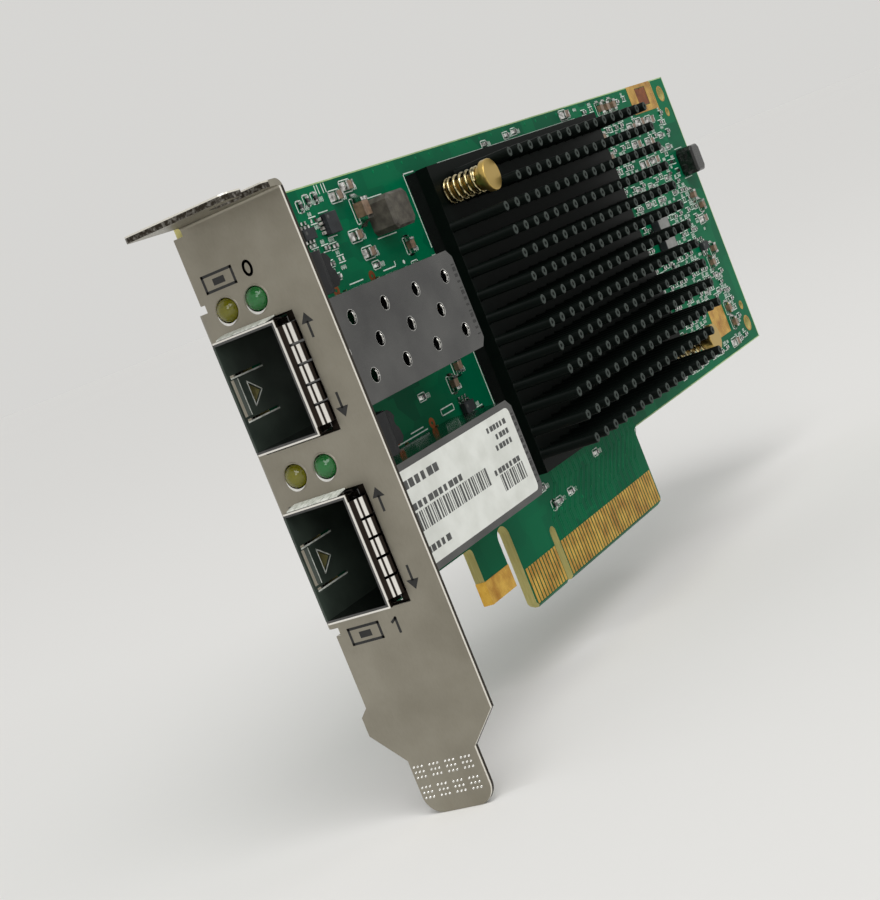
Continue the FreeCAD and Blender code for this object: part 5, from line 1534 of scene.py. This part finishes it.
@dataclass(frozen=True)
class Bracket:
    """The folded bracket with its printed port marks, punched dots and the rims of its light holes.

    Attributes:
        ink: Thickness of the black print in millimetres.
        line: Width of the printed lines in millimetres.
        mark_height: Height of the printed numbers in millimetres.
        symbol_width: Width of a port symbol in millimetres.
        symbols: Lower left corners of the port symbols across and up the bracket.
        symbol_core: Half the width of the bar in a symbol, and its lower and upper side.
        nought: Middle of the upper port's number.
        nought_half: Half its width.
        one: Points of the lower port's number: the end of its flag, its top and its foot.
        arrow_middle: Middle of the arrows across the bracket.
        arrow_half: Half the length of an arrow.
        barb: Half the width of its head, and the head's foot from the arrow's middle.
        arrow_levels: Distance of each arrow above its port, and the way that it points.
        dot_bands: Z of the lowest row in each band of punched dots in millimetres.
        dot_start: Place of the first column of dots across the bracket.
        dot_pitch: Spacing of the dots across and up the bracket.
        dot_profile: Radius and height of a dot's points, from outside to inside.
        light_hole_radius: Radius of the light holes in millimetres.
    """

    ink: float = 0.02
    line: float = 0.34
    mark_height: float = 2.0
    symbol_width: float = 4.6
    symbols: tuple[Point, ...] = ((1.4, 59.8), (1.6, 12.8))
    symbol_core: tuple[float, float, float] = (0.9, 0.55, 1.4)
    nought: Point = (8.3, 60.8)
    nought_half: float = 0.55
    one: tuple[Point, ...] = ((8.3, 14.3), (8.9, 14.7), (8.9, 12.9))
    arrow_middle: float = 13.4
    arrow_half: float = 1.5
    barb: Point = (0.9, 0.2)
    arrow_levels: tuple[tuple[float, int], ...] = ((5.4, 1), (-5.0, -1))
    dot_bands: tuple[float, ...] = (-5.8, -8.6)
    dot_start: float = 2.9
    dot_pitch: Point = (0.6, 0.7)
    dot_profile: tuple[Point, ...] = ((0.17, 0.0), (0.14, 0.05), (0.08, 0.06), (0.04, 0.02))
    light_hole_radius: float = 1.6

    def build(self) -> None:
        """Dress the bracket and print its marks."""
        dress(SATIN_NICKEL, "bracket", "bracket_rivets")
        soften(0.14, "bracket")
        self.print_marks()
        self.hole_rims()
        self.punched_dots()

    def print_marks(self) -> None:
        """Print a port symbol and a number for each port, and an arrow for each direction of light."""
        ink = Relief(BRACKET_FACE, self.ink)
        for left, low in self.symbols:
            ink.frame_line((left, low), (left + self.symbol_width, low + self.mark_height), self.line)
            middle = left + self.symbol_width / 2
            half, foot, top = self.symbol_core
            ink.bar((middle - half, low + foot), (middle + half, low + top))
        wide, rise = self.nought_half, self.mark_height / 2 - 0.15
        loop = [(self.nought[0] + wide * x, self.nought[1] + rise * z) for x, z in circle((0, 0), 1, 24)]
        ink.stroke(loop + loop[:1], self.line)
        ink.stroke(self.one, self.line)
        x = self.arrow_middle
        for port in PORTS:
            for above, way in self.arrow_levels:
                level, length = port + above, self.arrow_half * way
                half, foot = self.barb[0], level + self.barb[1] * way
                ink.plate(((x, level + length), (x - half, foot), (x + half, foot)))
                ink.stroke(((x, foot), (x, level - length)), self.line)
        ink.make("printed_port_marks", BLACK_INK, "black_moulding")

    def punched_dots(self) -> None:
        """Punch two bands of plain dots across the tab, in groups of three columns."""
        dots = Relief(BRACKET_FACE)
        columns = [column for column in range(16) if column % 4 < 3]
        for band in self.dot_bands:
            for column in columns:
                for row in range(3):
                    place = (self.dot_start + self.dot_pitch[0] * column, band + self.dot_pitch[1] * row)
                    dots.turn(place, self.dot_profile, 10)
        dots.make("punched_tab_dots", SHEARED_EDGE, "bracket_steel")

    def hole_rims(self) -> None:
        """Raise the rim that the punch pressed round each light hole, and a bright crescent on its lower
        lip as a painted highlight.
        """
        rims, lip_highlights = Relief(BRACKET_FACE), Relief(BRACKET_FACE, 0.07)
        inner = self.light_hole_radius
        swell = ((inner + 0.26, 0), (inner + 0.2, 0.04), (inner + 0.08, 0.05))
        profile = (*swell, (inner, -0.06), (inner - 0.01, -0.4))
        last = 16
        for level in LIGHT_LEVELS:
            for place in (YELLOW_PLACE, GREEN_PLACE):
                rims.turn((place, level), profile, 40)
                # A bright crescent on the lower side of each hole, a painted highlight.
                outer, rim = [], []
                for step in range(last + 1):
                    angle = math.radians(190 + 110 * step / last)
                    reach = inner + 0.02 + 0.3 * math.sin(math.pi * step / last)
                    outer.append((place + reach * math.cos(angle), level + reach * math.sin(angle)))
                    rim.append((place + inner * math.cos(angle), level + inner * math.sin(angle)))
                lip_highlights.plate(outer + rim[::-1])
        rims.make("light_hole_rims", SATIN_NICKEL, "bracket_steel")
        lip_highlights.make("light_hole_painted_highlights", SHEARED_EDGE, "bracket_steel")


@dataclass(frozen=True)
class ModuleCages:
    """The module cages with their collars, sockets and stamped marks.

    Attributes:
        roof: Y of the cage roofs in millimetres.
        stamp: Thickness of the stamped marks and edge lines in millimetres.
        stamp_place: X where the stamped marks start and end.
        stamp_count: Number of marks on a roof.
        stamp_start: Z of the first mark from its port.
        stamp_pitch: Spacing of the marks.
        finger_count: Number of the collars' side fingers along a cage mouth.
        finger_section: Section of a side finger, along X and above its port.
        finger_start: Y of the first finger.
        finger_pitch: Spacing of the fingers.
        finger_width: Width of a finger.
        bracket_rear: X of the bracket's rear side.
        flange: Place of a collar's flange across the bracket, from its first side to its last.
        flange_half: Half its height.
        flange_sheet: Its thickness.
        half_opening: Half of the opening in it, across the bracket and from its port.
        slits: Distance of the latch's slits above its port.
        slit_span: X where the slits start and end.
        lip: X of the latch's front lip, and half its width.
        latch_hole: X of the triangular hole's base and tip, and half the base.
        slit_line: Width of the painted highlight lines along the slits.
        edge_highlight_line: Width of the painted highlight lines along the lip and the hole.
        wall: Distance of the cages' legs from their port's middle.
        legs: X of the legs.
        vent_radius: Radius of the vents in the roofs.
        vent_start: X of the first vents.
        vent_pitch: Spacing of the vents along X.
        vent_row: Distance of the outer rows of vents from the port's middle.
        vent_count: Number of vents in an outer row.
        sheet: Thickness of the cage sheet.
    """

    roof: float = -10.35
    stamp: float = 0.015
    stamp_place: Point = (-15.95, -15.15)
    stamp_count: int = 13
    stamp_start: float = -5.4
    stamp_pitch: float = 0.86
    finger_count: int = 6
    finger_section: tuple[Point, ...] = (
        (-61.35, 7.48), (-59.12, 7.78), (-59.12, 7.95), (-60.2, 7.85), (-61.35, 7.6)
    )
    finger_start: float = -1.5
    finger_pitch: float = 1.33
    finger_width: float = 1.2
    bracket_rear: float = -58.19
    flange: Point = (0.4, 12.9)
    flange_half: float = 8.4
    flange_sheet: float = 0.15
    half_opening: tuple[Point, ...] = ((0.7, 7.5), (10.45, 7.5), (10.45, 6.45), (11.4, 6.45))
    slits: Point = (2.62, -3.08)
    slit_span: Point = (-60.8, -53.8)
    lip: Point = (-59.6, 2.3)
    latch_hole: tuple[float, float, float] = (-58.1, -55.7, 1.6)
    slit_line: float = 0.2
    edge_highlight_line: float = 0.16
    wall: float = 7.05
    legs: tuple[float, ...] = (-47.0, -38.0, -29.0, -20.0)
    vent_radius: float = 1.0
    vent_start: float = -53.4
    vent_pitch: float = 8.66
    vent_row: float = 3.95
    vent_count: int = 5
    sheet: float = 0.3

    def build(self) -> None:
        """Dress the cages, stamp them and solder their legs."""
        for end in ("upper", "lower"):
            dress(ROLLED_NICKEL_SILVER, "cage_shell_" + end)
            dress(BLACK_ZINC, "cage_floor_" + end)
            dress(SPRING_STRIP, "gasket_" + end)
            dress(BLACK_NYLON, "host_connector_" + end)
            dress(HARD_GOLD, "host_contacts_" + end)
            soften(0.05, "cage_shell_" + end, "host_connector_" + end)
        self.stamped_marks()
        self.leg_solder()
        self.vent_edges()
        self.side_fingers()
        self.rear_flanges()
        self.latch_edges()

    def side_fingers(self) -> None:
        """Lay the tips of the collar's fingers along the upper side of each cage mouth, near-white as a
        painted highlight.
        """
        fingers = Relief()
        for port in PORTS:
            for number in range(self.finger_count):
                start = self.finger_start - self.finger_pitch * number
                section = [Vector((x, start, port + z)) for x, z in self.finger_section]
                fingers.prism(section, Y_AXIS * -self.finger_width)
        fingers.make("collar_side_fingers", PALE_TIN_HIGHLIGHT, "spring_metal")

    def rear_flanges(self) -> None:
        """Back the gap round each cage with the collar's flange, behind the bracket."""
        flanges = Relief(Face(X_AXIS * self.bracket_rear, -Y_AXIS, Z_AXIS, X_AXIS), self.flange_sheet)
        first, last = self.flange
        for port in PORTS:
            opening = [(across, port - half) for across, half in self.half_opening]
            opening += [(across, port + half) for across, half in self.half_opening[::-1]]
            outline = rectangle((first, port - self.flange_half), (last, port + self.flange_half))
            flanges.pierced_plate(outline, [opening])
        # The flanges lie past the painted highlight lines, so they take the strip's dark colour, tarnish
        # and painted shade.
        flanges.make("collar_rear_flanges", SPRING_STRIP, "spring_metal")

    def latch_edges(self) -> None:
        """Draw bright lines as painted highlights along the sheared edges of the latch's slits, front lip
        and triangular hole.
        """
        edges = Relief(height=self.stamp)
        start, stop = self.slit_span
        lip, lip_half = self.lip
        base, tip, half = self.latch_hole
        for end, port in zip(("upper", "lower"), PORTS):
            edges.face = component_side(box_of("cage_floor_" + end)[0].y)
            for slit in self.slits:
                edges.stroke(((start, port + slit), (stop, port + slit)), self.slit_line)
            edges.stroke(((lip, port - lip_half), (lip, port + lip_half)), self.edge_highlight_line)
            corner = (base, port - half)
            edges.stroke((corner, (tip, port), (base, port + half), corner), self.edge_highlight_line)
        edges.make("latch_edge_painted_highlights", PALE_TIN_HIGHLIGHT, "cage_metal")

    def vent_edges(self) -> None:
        """Line the vents with the bright edge that the punch left."""
        edges = Relief(component_side(self.roof))
        radius, depth = self.vent_radius, self.sheet
        lip = ((radius + 0.04, 0.008), (radius, 0.0))
        profile = (*lip, (radius - 0.03, -depth / 2), (radius - 0.08, -depth))
        for port in PORTS:
            for step in range(self.vent_count):
                x = self.vent_start + self.vent_pitch * step
                places = [(x, port + self.vent_row), (x, port - self.vent_row)]
                if step:
                    places.append((x - self.vent_pitch / 2, port))
                for place in places:
                    edges.turn(place, profile, 36)
        edges.make("sheared_vent_edges", SHEARED_EDGE, "cage_metal")

    def stamped_marks(self) -> None:
        """Stamp a row of plain bars near the rear edge of each roof."""
        marks = Relief(component_side(self.roof), self.stamp)
        start, end = self.stamp_place
        for port in PORTS:
            for step in range(self.stamp_count):
                z = port + self.stamp_start + self.stamp_pitch * step
                marks.bar((start, z), (end, z + 0.2 + 0.14 * (step * 5 % 4)))
        marks.make("stamped_cage_marks", BLACK_INK, "cage_metal")

    def leg_solder(self) -> None:
        """Solder each leg of the cages on the far side of the board."""
        joints = Relief(SOLDER_FACE)
        profile = ((1.0, 0), (0.95, 0.08), (0.62, 0.3), (0.42, 0.62), (0.3, 0.72))
        for port in PORTS:
            for x in self.legs:
                for z in (port + self.wall, port - self.wall):
                    joints.turn((x, z), profile, 20)
        joints.make("leg_solder_joints", REFLOWED_TIN, "tinned_ends")


@dataclass(frozen=True)
class PortLights:
    """The lights beside the ports and their black holders.

    Attributes:
        seat: X of the lenses' foot in millimetres.
        tip: X of their domed tip.
        radius: Radius of a lens.
        dome_steps: Number of steps from a lens's rod to its tip.
        tail_height: Height of the holders' tails over the board.
        tail_foot: Corners of a tail below its notch, along X and from its lights' middle.
        tail_head: Corners of it above the notch.
        notch: Middle of the notch, along X and from the lights' middle.
        notch_radius: Radius of the notch.
        notch_turns: Angles of the notch's points.
    """

    seat: float = -55.6
    tip: float = LENS_TIP
    radius: float = 1.53
    dome_steps: int = 9
    tail_height: float = 6.6
    tail_foot: tuple[Point, ...] = ((-43.6, -2.3), (-40.0, -2.3), (-39.3, -1.6))
    tail_head: tuple[Point, ...] = ((-40.1, 2.0), (-40.7, 2.4), (-43.6, 2.4))
    notch: Point = (-39.3, 0.5)
    notch_radius: float = 0.8
    notch_turns: tuple[float, ...] = (-1.2, -0.8, -0.4, 0.0, 0.4, 0.8, 1.2)

    def build(self) -> None:
        """Dress the holders, cast their tails and the lenses."""
        dress(BLACK_NYLON, "light_housing_upper", "light_housing_lower")
        soften(0.1, "light_housing_upper", "light_housing_lower")
        self.tails()
        self.lenses("yellow_lights", YELLOW_PLACE, YELLOW_LENS, "yellow_lens")
        self.lenses("green_lights", GREEN_PLACE, GREEN_LENS, "green_lens")

    def tails(self) -> None:
        """Carry each holder on behind its rounded end, with a notch for the lights' wires."""
        tails = Relief(height=self.tail_height)
        (x, up), radius = self.notch, self.notch_radius
        notch = [(x - radius * math.cos(turn), up + radius * math.sin(turn)) for turn in self.notch_turns]
        outline = [*self.tail_foot, *notch, *self.tail_head]
        for level in LIGHT_LEVELS:
            tails.plate([(along, level + rise) for along, rise in outline])
        tails.make("light_holder_tails", BLACK_NYLON, "black_moulding")

    def lenses(self, node: str, place: float, finish: Finish, slot: str) -> None:
        """Cast smooth domed lenses in place of one colour's packed ones.

        Args:
            node: Node that they replace.
            place: Distance across the bracket in millimetres.
            finish: Finish of the lenses.
            slot: Material slot in the card's record.
        """
        rod = self.seat - self.tip - self.radius
        profile = [(self.radius, 0.0), (self.radius, rod)]
        for step in range(1, self.dome_steps + 1):
            angle = math.pi / 2 * step / (self.dome_steps + 1)
            profile.append((self.radius * math.cos(angle), rod + self.radius * math.sin(angle)))
        domes = Relief(bracket_side(self.seat))
        for level in LIGHT_LEVELS:
            domes.turn((place, level), profile, 40)
        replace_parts(domes.make("domed_" + node, finish, slot), node)


@dataclass(frozen=True)
class HeatSink:
    """The pin-fin heat sink, its controller, and the sprung pins that clamp it.

    Attributes:
        pins: X and Z of the push pins in millimetres.
        pin_hole_radius: Radius of their holes in the base plate.
        pin_clearing: Distance along X and Z within which a push pin leaves no fin.
        seat: Y of the springs' lower end.
        cap: Y of their upper end.
        coil_radius: Radius of the coil's middle line.
        wire_radius: Radius of the wire.
        turns: Number of turns.
        points_per_turn: Number of points in each turn.
        closed_turns: Turns at each end that lie flat.
        fin_radius: Radius of the round fins.
        fin_start: X and Z of the first fin.
        fin_pitch: Spacing of the fins along X and Z.
        fin_counts: Number of fins along X and Z.
        gap_shade_insets: Distance of the black frame's outer and inner sides from the edge of the base
            plate; the frame is painted shade for the gap.
    """

    pins: tuple[Point, ...] = ((1.8, 61.4), (58.6, 21.8))
    pin_hole_radius: float = 1.45
    pin_clearing: Point = (3.8, 4.15)
    seat: float = -4.85
    cap: float = -10.6
    coil_radius: float = 1.87
    wire_radius: float = 0.26
    turns: float = 6.5
    points_per_turn: int = 16
    closed_turns: float = 0.75
    fin_radius: float = 0.78
    fin_start: Point = (-1.25, 20.0)
    fin_pitch: Point = (3.7, 3.633)
    fin_counts: tuple[int, int] = (18, 13)
    gap_shade_insets: Point = (0.1, 0.9)

    def build(self) -> None:
        """Dress the heat sink's neighbours, cast its pins and wind the springs."""
        self.fins()
        self.gap_shade_frame()
        dress(GREEN_MASK, "controller_substrate")
        dress(NICKEL_LID, "controller_lid")
        dress(GAP_FILLER, "thermal_pad")
        dress(TURNED_BRASS, "push_pins")
        soften(0.12, "push_pins")
        self.springs()

    def fins(self) -> None:
        """Cast the base plate and its round pins with dished tops, clear of the push pins."""
        low, high = box_of("heatsink")
        sink = Relief(component_side(high.y), high.y - self.seat)
        holes = [circle(pin, self.pin_hole_radius, 24) for pin in self.pins]
        sink.pierced_plate(rectangle((low.x, low.z), (high.x, high.z)), holes)
        sink.face = component_side(self.seat)
        height, radius = self.seat - low.y, self.fin_radius
        profile = (
            (radius + 0.12, 0), (radius, 0.15), (radius, height - 0.16), (radius - 0.05, height - 0.06),
            (radius - 0.15, height), (radius * 0.5, height), (radius * 0.3, height - 0.1),
        )
        wide, deep = self.pin_clearing
        for column in range(self.fin_counts[0]):
            for row in range(self.fin_counts[1]):
                x = self.fin_start[0] + self.fin_pitch[0] * column
                z = self.fin_start[1] + self.fin_pitch[1] * row
                if not any(abs(x - px) < wide and abs(z - pz) < deep for px, pz in self.pins):
                    sink.turn((x, z), profile, 16)
        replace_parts(sink.make("pin_fin_heat_sink", BLACK_ANODISED, "black_anodised"), "heatsink")

    def gap_shade_frame(self) -> None:
        """Close the gap between the board and the edge of the base plate with a black frame, as painted
        shade.
        """
        low, high = box_of("heatsink")
        outline, opening = (
            rectangle((low.x + inset, low.z + inset), (high.x - inset, high.z - inset))
            for inset in self.gap_shade_insets
        )
        gap_shade = Relief(height=BOARD_LOW.y - high.y)
        gap_shade.pierced_plate(outline, [opening])
        gap_shade.make("heat_sink_gap_shade_frame", PAINTED_GAP_SHADE, "black_anodised")

    def springs(self) -> None:
        """Wind a coil spring on each push pin, with closed ends."""
        data = bpy.data.curves.new("wound_pin_springs", "CURVE")
        data.dimensions = "3D"
        data.bevel_depth = self.wire_radius * MM
        data.bevel_resolution = 4
        low = self.seat - self.wire_radius
        rise = self.cap + self.wire_radius - low
        count = round(self.turns * self.points_per_turn)
        closed_share = self.closed_turns / self.turns
        for x, z in self.pins:
            spline = data.splines.new("NURBS")
            spline.points.add(count)
            for step, point in enumerate(spline.points):
                share = step / count
                climb = max(0.0, min(1.0, (share - closed_share) / (1 - 2 * closed_share)))
                angle = 2 * math.pi * self.turns * share
                across, up = self.coil_radius * math.cos(angle), self.coil_radius * math.sin(angle)
                point.co = (*(Vector((x + across, low + rise * climb, z + up)) * MM), 1.0)
            spline.order_u = 4
            spline.use_endpoint_u = True
        piece = add_piece("wound_pin_springs", data, SPRING_WIRE)
        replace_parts(piece, "push_pin_springs")


@dataclass(frozen=True)
class CageLabel:
    """The paper label on the lower cage, printed with plain bars.

    Attributes:
        paper: Thickness of the paper in millimetres.
        corner: Radius of its corners.
        corner_steps: Number of steps round a corner.
        ink: Thickness of the print.
        block_lines: Start, end, middle and size of each line of blocks in shares of the label, and count.
        stripe_fields: Start, end, middle and size of each field of stripes in shares of the label.
    """

    paper: float = 0.1
    corner: float = 0.9
    corner_steps: int = 6
    ink: float = 0.012
    block_lines: tuple[tuple[float, float, float, float, int], ...] = (
        (0.04, 0.37, 0.15, 0.09, 7), (0.78, 0.95, 0.12, 0.06, 6), (0.83, 0.95, 0.23, 0.06, 4),
        (0.80, 0.95, 0.34, 0.06, 5), (0.02, 0.50, 0.39, 0.07, 12), (0.72, 0.95, 0.57, 0.06, 7),
        (0.04, 0.27, 0.85, 0.07, 6),
    )
    stripe_fields: tuple[tuple[float, float, float, float], ...] = (
        (0.02, 0.67, 0.55, 0.2), (0.75, 0.95, 0.71, 0.19)
    )

    def build(self) -> None:
        """Cut the label and print it."""
        low, high = box_of("cage_label")
        radius = self.corner
        right, top, left, foot = high.x - radius, high.z - radius, low.x + radius, low.z + radius
        outline = []
        for quarter, (x, z) in enumerate(((right, top), (left, top), (left, foot), (right, foot))):
            for step in range(self.corner_steps + 1):
                angle = math.pi / 2 * (quarter + step / self.corner_steps)
                outline.append((x + radius * math.cos(angle), z + radius * math.sin(angle)))
        sheet = Relief(component_side(high.y), self.paper)
        sheet.plate(outline)
        label = sheet.make("paper_cage_label", LABEL_PAPER, "label_paper")
        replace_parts(label, "cage_label")
        self.print_bars(low, high)

    def print_bars(self, low: Vector, high: Vector) -> None:
        """Print generic bars: a few lines of short blocks and two fields of upright stripes.

        Args:
            low: Lowest corner of the label in millimetres.
            high: Highest corner of the label.
        """
        width, height = high.x - low.x, high.z - low.z
        ink = Relief(component_side(low.y), self.ink)
        for start, end, level, size, blocks in self.block_lines:
            step = (end - start) / blocks
            top = high.z - height * (level - size / 2)
            for block in range(blocks):
                left = low.x + width * (start + step * block)
                right = left + width * step * (0.55 + 0.1 * (block * 3 % 4))
                ink.bar((left, top - height * size), (right, top))
        for start, end, level, size in self.stripe_fields:
            left = low.x + width * start
            top = high.z - height * (level - size / 2)
            number = 0
            while left < low.x + width * end:
                stripe = 0.14 + 0.12 * (number * 7 % 4)
                ink.bar((left, top - height * size), (left + stripe, top))
                left += stripe + 0.2 + 0.1 * (number * 5 % 3)
                number += 1
        ink.make("label_print_bars", LABEL_PRINT, "label_paper")


def main() -> None:
    """Build the scene piece by piece."""
    logging.basicConfig(level=logging.INFO, format="%(name)s: %(message)s")
    PhotoCamera().build()
    Studio().build()
    for assembly in (
        CircuitBoard(), SurfaceParts(), Bracket(), ModuleCages(), PortLights(), HeatSink(), CageLabel()
    ):
        LOG.info("building %s", type(assembly).__name__)
        assembly.build()


if __name__ == "__main__":
    main()
